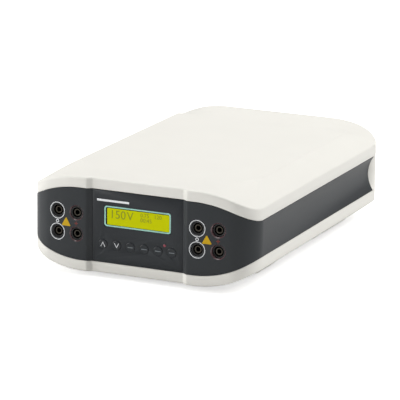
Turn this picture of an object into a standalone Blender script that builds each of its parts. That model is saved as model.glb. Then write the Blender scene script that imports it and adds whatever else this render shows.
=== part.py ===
"""Bench power supply: a clamshell case with a bowed front, eight safety sockets, keys, a display, and its insides.

Metres, +Z up.  The front faces -Y.  The origin is on the bench, under the centre of the case.
"""
import math

import bmesh
import bpy
from mathutils import Matrix, Vector

MM = 0.001

# Case
WIDTH = 215 * MM
DEPTH = 315 * MM
CASE_HEIGHT = 85 * MM
FOOT_HEIGHT = 4 * MM
WALL = 2 * MM
PANEL_WALL = 3 * MM
GAP = 0.3 * MM

# Front, rear and shoulder curves
BOW_RADIUS = 250 * MM
FRONT_CORNER = 25.5 * MM
REAR_CORNER = 28 * MM
RECESS_HALF_WIDTH = 43.5 * MM
RECESS_RAMP = 4.5 * MM
RECESS_DEPTH = 2.8 * MM
BAND_HALF_HEIGHT = 32.5 * MM
SHOULDER_RUN = 53.5 * MM
BAND_SHOULDER = 96 * MM
LIP_SHOULDER = 106 * MM
LIP_FILLET = 2.2 * MM
LIP_FILLET_ANGLE = math.radians(65)

# The flat platform on top and underneath, and the border that falls away from it
PLATFORM_DROP = 1.4 * MM
PLATFORM_SIDE_BORDER = 21 * MM
PLATFORM_FRONT_BORDER = 29.8 * MM
PLATFORM_FRONT_SWEEP = 35 * MM
PLATFORM_REAR_BORDER = 44 * MM
BORDER_CROWN = 0.25

# Side channels
CHANNEL_FRONT_DEPTH = 1.4 * MM
CHANNEL_REAR_DEPTH = 5.3 * MM
CHANNEL_RETURN = 11 * MM

# Display, keys and lamp
OVERLAY_THICKNESS = 0.8 * MM
OVERLAY_MARGIN = 1.5 * MM
DISPLAY_WIDTH = 63.5 * MM
DISPLAY_HEIGHT = 18.4 * MM
DISPLAY_RISE = 9.6 * MM
BEZEL_SIDE = 1.6 * MM
BEZEL_EDGE = 0.9 * MM
BEZEL_THICKNESS = 3.2 * MM
GLASS_SETBACK = 0.5 * MM
KEY_RADIUS = 4.2 * MM
KEY_PROUD = 0.4 * MM
KEY_TRAVEL = 1 * MM
KEY_PITCH = 13.2 * MM
KEY_DROP = 16 * MM
KEY_FLANGE = 1 * MM
KEY_NAMES = ("key_up", "key_down", "key_set", "key_mode", "key_stop", "key_run")
LAMP_RADIUS = 1.3 * MM
LAMP_X = 26 * MM
LAMP_DROP = 10.4 * MM
BOARD_THICKNESS = 1.6 * MM
CONTROL_BOARD_SETBACK = 9 * MM
CONTROL_BOARD_WIDTH = 84 * MM
CONTROL_BOARD_HEIGHT = 54 * MM
CONTROL_POST_INSET = 3.2 * MM
CONTROL_POST_RADIUS = 2.2 * MM

# Output sockets
SOCKET_CENTRE_X = 67.4 * MM
SOCKET_PITCH = 19 * MM
SOCKET_RADIUS = 6 * MM
SOCKET_BORE = 4.4 * MM
SOCKET_LENGTH = 26 * MM
SOCKET_FLOOR = 2 * MM
SOCKET_NUT = 7.6 * MM
SOCKET_NUT_DEPTH = 2.5 * MM
CONTACT_RADIUS = 2.9 * MM
CONTACT_BORE = 2 * MM
CONTACT_BORE_DEPTH = 16 * MM
CONTACT_SETBACK = 4.7 * MM
CONTACT_TAIL = 1.2 * MM
CONTACT_TAIL_LENGTH = 2.5 * MM
OUTPUT_BOARD_MARGIN = 9 * MM

# Rear panel: mains inlet with fuse drawer, rocker switch and fan
FLANGE_THICKNESS = 1.2 * MM
FLANGE_MARGIN = 2 * MM
INLET_X = 50 * MM
INLET_WIDTH = 30 * MM
INLET_HEIGHT = 36 * MM
INLET_LENGTH = 30 * MM
INLET_CAVITY_WIDTH = 24.4 * MM
INLET_CAVITY_HEIGHT = 16.4 * MM
INLET_CAVITY_DEPTH = 18 * MM
INLET_CAVITY_RISE = 6.8 * MM
PIN_WIDTH = 2 * MM
PIN_HEIGHT = 4 * MM
PIN_SETBACK = 4.8 * MM
PIN_TAIL = 6 * MM
PIN_SPACING = 7 * MM
EARTH_PIN_RISE = 3.5 * MM
LIVE_PIN_DROP = 1.5 * MM
DRAWER_WIDTH = 24 * MM
DRAWER_HEIGHT = 8.4 * MM
DRAWER_LENGTH = 22 * MM
DRAWER_DROP = 10.8 * MM
DRAWER_NOTCH = 3 * MM
FUSE_RADIUS = 2.6 * MM
FUSE_LENGTH = 20 * MM
FUSE_SETBACK = 11 * MM
SWITCH_X = 18 * MM
SWITCH_WIDTH = 13 * MM
SWITCH_HEIGHT = 21 * MM
SWITCH_LENGTH = 18 * MM
SWITCH_WALL = 1.2 * MM
SWITCH_CAVITY_DEPTH = 14 * MM
ROCKER_HALF_HEIGHT = 8 * MM
ROCKER_END = 6.2 * MM
ROCKER_MIDDLE = 5 * MM
ROCKER_PIVOT_DEPTH = 7.6 * MM
ROCKER_TILT = math.radians(8)
FAN_X = -50 * MM
FAN_SIZE = 50 * MM
FAN_DEPTH = 15 * MM
FAN_BORE = 23.2 * MM
FAN_HUB = 10 * MM
FAN_HUB_PLATE = 2 * MM
FAN_STRUT = 2.4 * MM
FAN_STRUT_DEPTH = 1.4 * MM
FAN_STRUT_TURN = math.radians(17)
FAN_BLADE_TIP = 22.4 * MM
FAN_BLADE_COUNT = 7
FAN_BLADE_PITCH = math.radians(38)
FAN_BLADE_CHORD = 11 * MM
FAN_BLADE_THICKNESS = 1.2 * MM
VENT_SLOT = 2.6 * MM
VENT_PITCH = 5 * MM
VENT_RADIUS = 22 * MM

# Inside the case
BOARD_RISE = 6 * MM
BOARD_WIDTH = 124 * MM
BOARD_FRONT_INSET = 62.5 * MM
BOARD_REAR_INSET = 47.5 * MM
POST_RADIUS = 3 * MM
POST_SIDE_INSET = 7 * MM
POST_END_INSET = 25 * MM
BOSS_SIDE_INSET = 35.5 * MM
BOSS_FRONT_INSET = 67.5 * MM
BOSS_REAR_INSET = 59.5 * MM
BOSS_RADIUS = 4.6 * MM
BOSS_BORE = 3.4 * MM
SCREW_RADIUS = 1.5 * MM
SCREW_HEAD_RADIUS = 2.9 * MM
SCREW_HEAD = 2.4 * MM
SCREW_GRIP = 6 * MM
SCREW_BITE = 14 * MM
CORE_SIZE = (60 * MM, 40 * MM, 50 * MM)
CORE_LEG = 18 * MM
CORE_WINDOW = (12 * MM, 30 * MM)
CORE_PLACE = (-22 * MM, -30 * MM)
COIL_OVERHANG = 11 * MM
SINK_SIZE = (48 * MM, 66 * MM, 36 * MM)
SINK_FINS = 7
SINK_FIN = 1.8 * MM
SINK_BASE = 4 * MM
SINK_PLACE = (34 * MM, -20 * MM)
CAPACITOR_RADIUS = 12.5 * MM
CAPACITOR_HEIGHT = 40 * MM
CAPACITOR_PLACES = ((-38 * MM, 45 * MM), (-8 * MM, 45 * MM))
FOOT_RADIUS = 8 * MM
FOOT_TOP_RADIUS = 9 * MM
FOOT_SIDE_INSET = 35.5 * MM
FOOT_FRONT_INSET = 87.5 * MM
FOOT_REAR_INSET = 79.5 * MM
INTAKE_SLOT = (3 * MM, 30 * MM)
INTAKE_PITCH = 10 * MM
INTAKE_COUNT = 9
INTAKE_Y = (-45 * MM, 15 * MM)

# Derived places
HALF_WIDTH = WIDTH / 2
FRONT_Y = -DEPTH / 2
REAR_Y = DEPTH / 2
SHOULDER_START = HALF_WIDTH - SHOULDER_RUN
BOARD_FRONT = FRONT_Y + BOARD_FRONT_INSET
BOARD_REAR = REAR_Y - BOARD_REAR_INSET
POST_X = BOARD_WIDTH / 2 - POST_SIDE_INSET
POST_Y = (BOARD_FRONT + POST_END_INSET, BOARD_REAR - POST_END_INSET)
BOSS_X = HALF_WIDTH - BOSS_SIDE_INSET
BOSS_Y = (FRONT_Y + BOSS_FRONT_INSET, REAR_Y - BOSS_REAR_INSET)
FOOT_X = HALF_WIDTH - FOOT_SIDE_INSET
FOOT_Y = (FRONT_Y + FOOT_FRONT_INSET, REAR_Y - FOOT_REAR_INSET)
LIP_HALF_HEIGHT = CASE_HEIGHT / 2
MID_Z = FOOT_HEIGHT + LIP_HALF_HEIGHT
PANEL_Y = FRONT_Y + RECESS_DEPTH
BOW_START = RECESS_HALF_WIDTH + RECESS_RAMP
PLATFORM_HALF_HEIGHT = LIP_HALF_HEIGHT - PLATFORM_DROP
PLATFORM_HALF_WIDTH = HALF_WIDTH - PLATFORM_SIDE_BORDER
FLOOR_UNDERSIDE = MID_Z - PLATFORM_HALF_HEIGHT
FLOOR_TOP = FLOOR_UNDERSIDE + WALL
ROOF_UNDERSIDE = MID_Z + PLATFORM_HALF_HEIGHT - WALL
BOARD_TOP = FLOOR_TOP + BOARD_RISE + BOARD_THICKNESS
OVER_CUT = 5 * MM
ROUND = 20
SMALL_ROUND = 12


def clear_scene():
    for item in list(bpy.data.objects):
        bpy.data.objects.remove(item, do_unlink=True)


def new_collection(name):
    collection = bpy.data.collections.new(name)
    bpy.context.scene.collection.children.link(collection)
    return collection


def make_material(name, color, roughness, metallic=0.0):
    material = bpy.data.materials.new(name)
    material.use_nodes = True
    shader = material.node_tree.nodes["Principled BSDF"]
    shader.inputs["Base Color"].default_value = (*color, 1.0)
    shader.inputs["Roughness"].default_value = roughness
    shader.inputs["Metallic"].default_value = metallic
    return material


clear_scene()
PARTS = new_collection("bench_power_supply")
CUTTERS = new_collection("cutters")
CREAM = make_material("cream_plastic", (0.82, 0.81, 0.77), 0.5)
CHARCOAL = make_material("charcoal_plastic", (0.045, 0.052, 0.058), 0.45)
OVERLAY = make_material("overlay_film", (0.045, 0.052, 0.058), 0.5)
KEY = make_material("key_plastic", (0.035, 0.04, 0.045), 0.45)
BLACK = make_material("black_plastic", (0.008, 0.008, 0.009), 0.35)
BEZEL = make_material("bezel_plastic", (0.3, 0.52, 0.43), 0.4)
LIQUID_CRYSTAL = make_material("display_glass", (0.6, 0.65, 0.01), 0.2)
LAMP = make_material("lamp_lens", (0.35, 0.04, 0.05), 0.3)
CONTACT = make_material("plated_brass", (0.55, 0.48, 0.32), 0.3, 1.0)
STEEL = make_material("zinc_steel", (0.55, 0.55, 0.56), 0.35, 1.0)
BOARD = make_material("circuit_board", (0.02, 0.14, 0.05), 0.5)
CORE = make_material("core_steel", (0.25, 0.25, 0.26), 0.45, 0.8)
COIL = make_material("coil_tape", (0.6, 0.45, 0.08), 0.5)
ALUMINIUM = make_material("aluminium", (0.6, 0.61, 0.62), 0.35, 1.0)
SLEEVE = make_material("capacitor_sleeve", (0.02, 0.03, 0.09), 0.35)
RUBBER = make_material("foot_rubber", (0.015, 0.015, 0.015), 0.8)


def place_object(name, mesh, collection, place, turn):
    part = bpy.data.objects.new(name, mesh)
    part.location = place
    part.rotation_euler = turn
    collection.objects.link(part)
    return part


def to_mesh(name, bm):
    mesh = bpy.data.meshes.new(name)
    bm.to_mesh(mesh)
    bm.free()
    return mesh


def add_part(name, bm, material, place=(0, 0, 0), turn=(0, 0, 0)):
    mesh = to_mesh(name, bm)
    mesh.materials.append(material)
    mesh.shade_smooth()
    mesh.set_sharp_from_angle(angle=math.radians(35))
    return place_object(name, mesh, PARTS, place, turn)


def add_cutter(name, bm, place=(0, 0, 0), turn=(0, 0, 0)):
    cutter = place_object(name, to_mesh(name, bm), CUTTERS, place, turn)
    cutter.hide_render = True
    cutter.display_type = "WIRE"
    return cutter


def boolean(target, other, operation="DIFFERENCE"):
    modifier = target.modifiers.new(other.name, "BOOLEAN")
    modifier.operation = operation
    modifier.solver = "EXACT"
    modifier.object = other


def box(size, centre=(0, 0, 0)):
    bm = bmesh.new()
    matrix = Matrix.Translation(centre) @ Matrix.Diagonal((*size, 1.0))
    bmesh.ops.create_cube(bm, size=1.0, matrix=matrix)
    return bm


def rod(radius, length, segments=ROUND, top_radius=None):
    """A cylinder or cone along local Z, centred on the origin."""
    bm = bmesh.new()
    end = radius if top_radius is None else top_radius
    bmesh.ops.create_cone(bm, cap_ends=True, segments=segments, radius1=radius, radius2=end, depth=length)
    return bm


def turned(name, profile, material, place, steps=ROUND, closed=False, turn=(math.pi / 2, 0, 0)):
    """A turned piece: the profile is (radius, height) down its outer side, and its top faces the front."""
    bm = bmesh.new()
    points = [bm.verts.new((radius, 0, height)) for radius, height in profile]
    for first, second in zip(points, points[1:]):
        bm.edges.new((first, second))
    if closed:
        bm.edges.new((points[-1], points[0]))
    part = add_part(name, bm, material, place, turn)
    screw = part.modifiers.new("turn", "SCREW")
    screw.axis = "Z"
    screw.steps = steps
    screw.render_steps = steps
    screw.use_merge_vertices = True
    screw.merge_threshold = 1e-6
    return part


def bevel(part, width, segments=2):
    modifier = part.modifiers.new("edges", "BEVEL")
    modifier.width = width
    modifier.segments = segments
    modifier.limit_method = "ANGLE"
    modifier.angle_limit = math.radians(40)


def thicken(part, thickness):
    modifier = part.modifiers.new("wall", "SOLIDIFY")
    modifier.thickness = thickness
    modifier.offset = -1.0
    modifier.use_even_offset = True


def mirror(part):
    modifier = part.modifiers.new("left_half", "MIRROR")
    modifier.use_axis = (True, False, False)
    modifier.merge_threshold = 1e-6


def arc(centre, radius, start, end, count):
    """Points along an arc, angles in radians from +X, both ends included."""
    step = (end - start) / count
    angles = [start + step * i for i in range(count + 1)]
    return [(centre[0] + radius * math.cos(a), centre[1] + radius * math.sin(a)) for a in angles]


def band_height(x):
    """Half the height of the dark band at a distance x from the centre plane."""
    return shoulder(x, BAND_HALF_HEIGHT, BAND_SHOULDER)


def lip_height(x):
    """Half the height of the case at its lip."""
    return shoulder(x, LIP_HALF_HEIGHT, LIP_SHOULDER)


def shoulder(x, height, radius):
    run = max(abs(x) - SHOULDER_START, 0.0)
    return height - (radius - math.sqrt(radius ** 2 - run ** 2))


def front_bow():
    """Centre of the bow, centre of the front corner, and the angle at which one turns into the other."""
    bow = Vector((BOW_START, FRONT_Y + BOW_RADIUS))
    corner_x = HALF_WIDTH - FRONT_CORNER
    rise = math.sqrt((BOW_RADIUS - FRONT_CORNER) ** 2 - (corner_x - bow.x) ** 2)
    corner = Vector((corner_x, bow.y - rise))
    angle = math.atan2(corner.y - bow.y, corner.x - bow.x)
    return bow, corner, angle


def front_y(x):
    """Where the pod face lies at a distance x from the centre plane."""
    bow = front_bow()[0]
    return bow.y - math.sqrt(BOW_RADIUS ** 2 - (abs(x) - bow.x) ** 2)


def front_outline():
    """Right half of the front in plan, from the centre plane to the end of the corner."""
    bow, corner, angle = front_bow()
    points = [(0.0, PANEL_Y), (RECESS_HALF_WIDTH, PANEL_Y)]
    points += arc(bow, BOW_RADIUS, -math.pi / 2, angle, 6)
    points += arc(corner, FRONT_CORNER, angle, 0.0, 8)[1:]
    return points


def rear_outline():
    """Right half of the rear in plan, from the start of the corner to the centre plane."""
    corner = (HALF_WIDTH - REAR_CORNER, REAR_Y - REAR_CORNER)
    points = arc(corner, REAR_CORNER, 0.0, math.pi / 2, 8)
    points += [(corner[0] - step * (corner[0] - SHOULDER_START) / 2, REAR_Y) for step in (1, 2)]
    return points + [(0.0, REAR_Y)]


def plan_outline():
    front = front_outline()
    rear = rear_outline()
    start = front[-1][1]
    run = rear[0][1] - start
    sides = [(HALF_WIDTH, start + run * share) for share in (0.25, 0.5, 0.75)]
    return front + sides + rear


def platform_point(x, y):
    """The point of the platform's edge that belongs to a point of the outline."""
    side = x * PLATFORM_HALF_WIDTH / HALF_WIDTH
    near = FRONT_Y + PLATFORM_FRONT_BORDER
    corner = near + PLATFORM_FRONT_SWEEP
    far = REAR_Y - PLATFORM_REAR_BORDER
    side_start = front_outline()[-1][1]
    side_end = REAR_Y - REAR_CORNER
    if y >= side_end:
        return side, far
    if y > side_start:
        return side, corner + (far - corner) * (y - side_start) / (side_end - side_start)
    return side, near + PLATFORM_FRONT_SWEEP * (side / PLATFORM_HALF_WIDTH) ** 2


def inward(points, index):
    """Unit vector across the outline, towards the inside."""
    before = Vector(points[max(index - 1, 0)])
    after = Vector(points[min(index + 1, len(points) - 1)])
    along = (after - before).normalized()
    if points[index][0] == 0.0:
        along = Vector((1.0, 0.0)) if index == 0 else Vector((-1.0, 0.0))
    return Vector((-along.y, along.x))


def shell_columns():
    """For each point of the outline, the points from the rim up to the platform, above the middle plane."""
    points = plan_outline()
    columns = []
    for index, (x, y) in enumerate(points):
        lip = lip_height(x)
        across = inward(points, index)
        column = [(x, y, band_height(x)), (x, y, lip - LIP_FILLET)]
        for share in (1 / 3, 2 / 3, 1):
            angle = LIP_FILLET_ANGLE * share
            inset = LIP_FILLET * (1 - math.cos(angle))
            rise = lip - LIP_FILLET + LIP_FILLET * math.sin(angle)
            column.append((x + across.x * inset, y + across.y * inset, rise))
        if x == 0.0:
            column = [(0.0, py, pz) for _, py, pz in column]
        start = Vector(column[-1])
        side, far = platform_point(x, y)
        end = Vector((side, far, PLATFORM_HALF_HEIGHT))
        for share in (1 / 3, 2 / 3, 1):
            point = start.lerp(end, share)
            point.z += (end.z - start.z) * BORDER_CROWN * share * (1 - share)
            column.append(tuple(point))
        columns.append(column)
    return columns


def case_shell(name, upward):
    """One half of the clamshell: rim, lip, fillet, border and platform, then its wall."""
    bm = bmesh.new()
    columns = [[bm.verts.new((x, y, MID_Z + upward * z)) for x, y, z in column] for column in shell_columns()]
    for left, right in zip(columns, columns[1:]):
        for level in range(len(left) - 1):
            bm.faces.new((left[level], right[level], right[level + 1], left[level + 1]))
    bm.faces.new([column[-1] for column in columns])
    if upward < 0:
        bmesh.ops.reverse_faces(bm, faces=bm.faces)
    part = add_part(name, bm, CREAM)
    mirror(part)
    thicken(part, WALL)
    return part


def upright_rod(name, radius, low, high, x, y):
    return add_cutter(name, rod(radius, high - low, SMALL_ROUND), (x, y, (low + high) / 2))


def four_places(half_x, ys):
    return [(side * half_x, y) for y in ys for side in (-1, 1)]


def top_cover():
    cover = case_shell("top_cover", 1)
    for index, (x, y) in enumerate(four_places(BOSS_X, BOSS_Y)):
        foot = MID_Z + GAP
        boss = upright_rod(f"cover_boss_{index}", BOSS_RADIUS, foot, ROOF_UNDERSIDE + WALL / 2, x, y)
        hole = upright_rod(f"cover_boss_hole_{index}", SCREW_RADIUS + GAP, foot - OVER_CUT,
                           foot + SCREW_BITE + GAP, x, y)
        boolean(cover, boss, "UNION")
        boolean(cover, hole)


def bottom_tray():
    tray = case_shell("bottom_tray", -1)
    for index, (x, y) in enumerate(four_places(BOSS_X, BOSS_Y)):
        shoulder_z = MID_Z - SCREW_GRIP
        boss = upright_rod(f"tray_boss_{index}", BOSS_RADIUS, FLOOR_TOP - WALL / 2, MID_Z, x, y)
        well = upright_rod(f"tray_boss_well_{index}", BOSS_BORE, 0.0, shoulder_z, x, y)
        hole = upright_rod(f"tray_boss_hole_{index}", SCREW_RADIUS + GAP, 0.0, MID_Z + OVER_CUT, x, y)
        boolean(tray, boss, "UNION")
        boolean(tray, well)
        boolean(tray, hole)
    for index, (x, y) in enumerate(four_places(POST_X, POST_Y)):
        post = upright_rod(f"board_post_{index}", POST_RADIUS, FLOOR_TOP - WALL / 2,
                           FLOOR_TOP + BOARD_RISE - GAP, x, y)
        boolean(tray, post, "UNION")
    for row, y in enumerate(INTAKE_Y):
        for column in range(INTAKE_COUNT):
            x = (column - (INTAKE_COUNT - 1) / 2) * INTAKE_PITCH
            size = (INTAKE_SLOT[0], INTAKE_SLOT[1], FLOOR_TOP + OVER_CUT)
            slot = add_cutter(f"intake_slot_{row}_{column}", box(size), (x, y, size[2] / 2))
            boolean(tray, slot)


def with_band_height(outline):
    return [(x, y, band_height(x) - GAP) for x, y in outline]


def strip(name, outline, material):
    """An upright panel along an outline of (x, y, half height)."""
    bm = bmesh.new()
    rows = []
    for x, y, reach in outline:
        rows.append((bm.verts.new((x, y, MID_Z - reach)), bm.verts.new((x, y, MID_Z + reach))))
    for left, right in zip(rows, rows[1:]):
        bm.faces.new((left[0], right[0], right[1], left[1]))
    part = add_part(name, bm, material)
    mirror(part)
    thicken(part, PANEL_WALL)
    return part


def key_places():
    start = -KEY_PITCH * (len(KEY_NAMES) - 1) / 2
    return [(name, start + KEY_PITCH * index) for index, name in enumerate(KEY_NAMES)]


def socket_places():
    """Name, x and z of each socket: in both pods the black pair is on the left and the red pair on the right."""
    places = []
    for pod, centre in (("left", -SOCKET_CENTRE_X), ("right", SOCKET_CENTRE_X)):
        for colour, side in (("black", -1), ("red", 1)):
            for level, rise in (("upper", 1), ("lower", -1)):
                x = centre + side * SOCKET_PITCH / 2
                places.append((f"{pod}_{colour}_{level}", x, MID_Z + rise * SOCKET_PITCH / 2))
    return places


def cut_control_holes(panel, prefix):
    """The display window, the key holes and the lamp hole, alike in the overlay and the fascia behind it."""
    size = (DISPLAY_WIDTH + 2 * GAP, 2 * OVER_CUT, DISPLAY_HEIGHT + 2 * GAP)
    window = add_cutter(f"{prefix}_window", box(size), (0, PANEL_Y, MID_Z + DISPLAY_RISE))
    boolean(panel, window)
    sideways = (math.pi / 2, 0, 0)
    for name, x in key_places():
        hole = add_cutter(f"{prefix}_{name}_hole", rod(KEY_RADIUS + GAP, 2 * OVER_CUT),
                          (x, PANEL_Y, MID_Z - KEY_DROP), sideways)
        boolean(panel, hole)
    lamp = add_cutter(f"{prefix}_lamp_hole", rod(LAMP_RADIUS + GAP, 2 * OVER_CUT, SMALL_ROUND),
                      (LAMP_X, PANEL_Y, MID_Z - LAMP_DROP), sideways)
    boolean(panel, lamp)


def front_fascia():
    fascia = strip("front_fascia", with_band_height(front_outline()), CHARCOAL)
    seat_depth = OVERLAY_THICKNESS + GAP
    size = (2 * overlay_half_width() + 2 * GAP, 2 * seat_depth, 2 * overlay_half_height() + 2 * GAP)
    seat = add_cutter("overlay_seat", box(size), (0, PANEL_Y, MID_Z))
    boolean(fascia, seat)
    cut_control_holes(fascia, "fascia")
    for name, x, z in socket_places():
        hole = add_cutter(f"socket_hole_{name}", rod(SOCKET_RADIUS + GAP, 4 * OVER_CUT),
                          (x, front_y(x), z), (math.pi / 2, 0, 0))
        boolean(fascia, hole)
    front = PANEL_Y + PANEL_WALL / 2
    back = PANEL_Y + CONTROL_BOARD_SETBACK - GAP
    reach = (CONTROL_BOARD_HEIGHT / 2 - CONTROL_POST_INSET)
    ys = (MID_Z - reach, MID_Z + reach)
    for index, (x, z) in enumerate(four_places(CONTROL_BOARD_WIDTH / 2 - CONTROL_POST_INSET, ys)):
        post = add_cutter(f"control_post_{index}", rod(CONTROL_POST_RADIUS, back - front, SMALL_ROUND),
                          (x, (front + back) / 2, z), (math.pi / 2, 0, 0))
        boolean(fascia, post, "UNION")


def overlay_half_width():
    return RECESS_HALF_WIDTH - OVERLAY_MARGIN


def overlay_half_height():
    return BAND_HALF_HEIGHT - OVERLAY_MARGIN - GAP


def control_overlay():
    size = (2 * overlay_half_width(), OVERLAY_THICKNESS, 2 * overlay_half_height())
    overlay = add_part("control_overlay", box(size), OVERLAY, (0, PANEL_Y + OVERLAY_THICKNESS / 2, MID_Z))
    cut_control_holes(overlay, "overlay")


def side_band(name, side):
    """A hollow channel between the two lips, deeper towards the rear."""
    start = front_outline()[-1][1] + GAP
    end = REAR_Y - REAR_CORNER - GAP
    reach = band_height(HALF_WIDTH) - GAP
    lengths = 8
    heights = 8
    bm = bmesh.new()
    rows = []
    for i in range(lengths + 1):
        share = i / lengths
        depth = CHANNEL_FRONT_DEPTH + (CHANNEL_REAR_DEPTH - CHANNEL_FRONT_DEPTH) * share
        row = []
        for j in range(heights + 1):
            level = 2 * j / heights - 1
            x = HALF_WIDTH - depth * (1 - level ** 2)
            row.append(bm.verts.new((side * x, start + (end - start) * share, MID_Z + reach * level)))
        rows.append(row)
    for near, far in zip(rows, rows[1:]):
        for j in range(heights):
            corners = (near[j], far[j], far[j + 1], near[j + 1])
            bm.faces.new(corners if side > 0 else corners[::-1])
    part = add_part(name, bm, CHARCOAL)
    thicken(part, WALL)
    size = (4 * WALL + 2 * CHANNEL_REAR_DEPTH, end - start + OVER_CUT, 2 * reach)
    place = (side * (HALF_WIDTH - CHANNEL_REAR_DEPTH), (start + end) / 2, MID_Z)
    trim = add_cutter(f"{name}_trim", box(size), place)
    boolean(part, trim, "INTERSECT")


def rear_panel():
    """The rear wall, with a return that closes the end of each side channel."""
    outline = with_band_height(rear_outline())
    _, start, reach = outline[0]
    outline.insert(0, (HALF_WIDTH - CHANNEL_RETURN, start, reach))
    panel = strip("rear_panel", outline, CREAM)
    for name, x, width, height in (("inlet", INLET_X, INLET_WIDTH, INLET_HEIGHT),
                                   ("switch", SWITCH_X, SWITCH_WIDTH, SWITCH_HEIGHT)):
        opening = add_cutter(f"{name}_opening", box((width + 2 * GAP, 4 * OVER_CUT, height + 2 * GAP)),
                             (x, REAR_Y, MID_Z))
        margin = 2 * (FLANGE_MARGIN + GAP)
        seat = add_cutter(f"{name}_flange_seat",
                          box((width + margin, 2 * (FLANGE_THICKNESS + GAP), height + margin)),
                          (x, REAR_Y, MID_Z))
        boolean(panel, seat)
        boolean(panel, opening)
    slots = int(VENT_RADIUS / VENT_PITCH)
    for index in range(-slots, slots + 1):
        length = 2 * math.sqrt(VENT_RADIUS ** 2 - (index * VENT_PITCH) ** 2)
        slot = add_cutter(f"vent_slot_{index + slots}", box((VENT_SLOT, 4 * OVER_CUT, length)),
                          (FAN_X + index * VENT_PITCH, REAR_Y, MID_Z))
        boolean(panel, slot)


def display():
    centre_z = MID_Z + DISPLAY_RISE
    bezel_y = PANEL_Y + BEZEL_THICKNESS / 2
    bezel = add_part("display_bezel", box((DISPLAY_WIDTH, BEZEL_THICKNESS, DISPLAY_HEIGHT)), BEZEL,
                     (0, bezel_y, centre_z))
    inner = (DISPLAY_WIDTH - 2 * BEZEL_SIDE, 2 * OVER_CUT, DISPLAY_HEIGHT - 2 * BEZEL_EDGE)
    boolean(bezel, add_cutter("bezel_opening", box(inner), (0, bezel_y, centre_z)))
    depth = CONTROL_BOARD_SETBACK - GLASS_SETBACK - GAP
    add_part("display_glass", box((inner[0] - 2 * GAP, depth, inner[2] - 2 * GAP)), LIQUID_CRYSTAL,
             (0, PANEL_Y + GLASS_SETBACK + depth / 2, centre_z))
    add_part("control_board", box((CONTROL_BOARD_WIDTH, BOARD_THICKNESS, CONTROL_BOARD_HEIGHT)), BOARD,
             (0, PANEL_Y + CONTROL_BOARD_SETBACK + BOARD_THICKNESS / 2, MID_Z))


def keys():
    """Each key's origin is on the axis of its travel, in the plane of the overlay."""
    edge = 0.5 * MM
    collar = PANEL_WALL + GAP
    stem = KEY_RADIUS / 2
    end = CONTROL_BOARD_SETBACK - KEY_TRAVEL - 2 * GAP
    profile = [(0, KEY_PROUD), (KEY_RADIUS - edge, KEY_PROUD), (KEY_RADIUS, KEY_PROUD - edge),
               (KEY_RADIUS, -collar), (KEY_RADIUS + KEY_FLANGE, -collar),
               (KEY_RADIUS + KEY_FLANGE, -collar - KEY_FLANGE), (stem, -collar - KEY_FLANGE),
               (stem, -end), (0, -end)]
    for name, x in key_places():
        turned(name, profile, KEY, (x, PANEL_Y, MID_Z - KEY_DROP), steps=16)


def run_lamp():
    end = CONTROL_BOARD_SETBACK - GAP
    dome = [(LAMP_RADIUS * math.sin(a), LAMP_RADIUS * 0.4 * math.cos(a)) for a in
            (math.pi / 2 * step / 3 for step in range(4))]
    turned("run_lamp", dome + [(LAMP_RADIUS, -end), (0, -end)], LAMP,
           (LAMP_X, PANEL_Y, MID_Z - LAMP_DROP), steps=SMALL_ROUND)


def output_sockets():
    """A shrouded socket: an insulating sleeve with its nut, and a contact tube set back inside it."""
    nut = PANEL_WALL + 4 * GAP
    sleeve = [(SOCKET_RADIUS, 0), (SOCKET_RADIUS, -nut), (SOCKET_NUT, -nut),
              (SOCKET_NUT, -nut - SOCKET_NUT_DEPTH), (SOCKET_RADIUS, -nut - SOCKET_NUT_DEPTH),
              (SOCKET_RADIUS, -SOCKET_LENGTH),
              (CONTACT_TAIL + GAP, -SOCKET_LENGTH), (CONTACT_TAIL + GAP, SOCKET_FLOOR - SOCKET_LENGTH),
              (SOCKET_BORE, SOCKET_FLOOR - SOCKET_LENGTH), (SOCKET_BORE, 0)]
    base = SOCKET_FLOOR + GAP - SOCKET_LENGTH
    tail = -SOCKET_LENGTH - CONTACT_TAIL_LENGTH
    bore_floor = -CONTACT_SETBACK - CONTACT_BORE_DEPTH
    contact = [(0, bore_floor), (CONTACT_BORE, bore_floor), (CONTACT_BORE, -CONTACT_SETBACK),
               (CONTACT_RADIUS, -CONTACT_SETBACK), (CONTACT_RADIUS, base), (CONTACT_TAIL, base),
               (CONTACT_TAIL, tail), (0, tail)]
    for name, x, z in socket_places():
        face = front_y(abs(x) + SOCKET_RADIUS)
        turned(f"socket_{name}", sleeve, BLACK, (x, face, z), steps=16, closed=True)
        turned(f"contact_{name}", contact, CONTACT, (x, face, z), steps=SMALL_ROUND)


def output_boards():
    """A board behind each pod, standing just off the contacts' tails."""
    face = front_y(SOCKET_CENTRE_X + SOCKET_PITCH / 2 + SOCKET_RADIUS)
    y = face + SOCKET_LENGTH + CONTACT_TAIL_LENGTH + GAP + BOARD_THICKNESS / 2
    size = (SOCKET_PITCH + 2 * OUTPUT_BOARD_MARGIN, BOARD_THICKNESS, SOCKET_PITCH + 2 * OUTPUT_BOARD_MARGIN)
    for name, side in (("left", -1), ("right", 1)):
        add_part(f"output_board_{name}", box(size), BOARD, (side * SOCKET_CENTRE_X, y, MID_Z))


def rear_module(name, x, width, length, height):
    """A housing that plugs through the rear panel, with a flange sunk flush into it."""
    housing = add_part(name, box((width, length, height)), BLACK, (x, REAR_Y - length / 2, MID_Z))
    size = (width + 2 * FLANGE_MARGIN, FLANGE_THICKNESS, height + 2 * FLANGE_MARGIN)
    boolean(housing, add_cutter(f"{name}_flange", box(size), (x, REAR_Y - FLANGE_THICKNESS / 2, MID_Z)), "UNION")
    return housing


def rear_box(name, x, width, depth, height, z):
    """A cutter that opens to the rear and reaches to the given depth."""
    return add_cutter(name, box((width, depth + OVER_CUT, height)), (x, REAR_Y + (OVER_CUT - depth) / 2, z))


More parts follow.
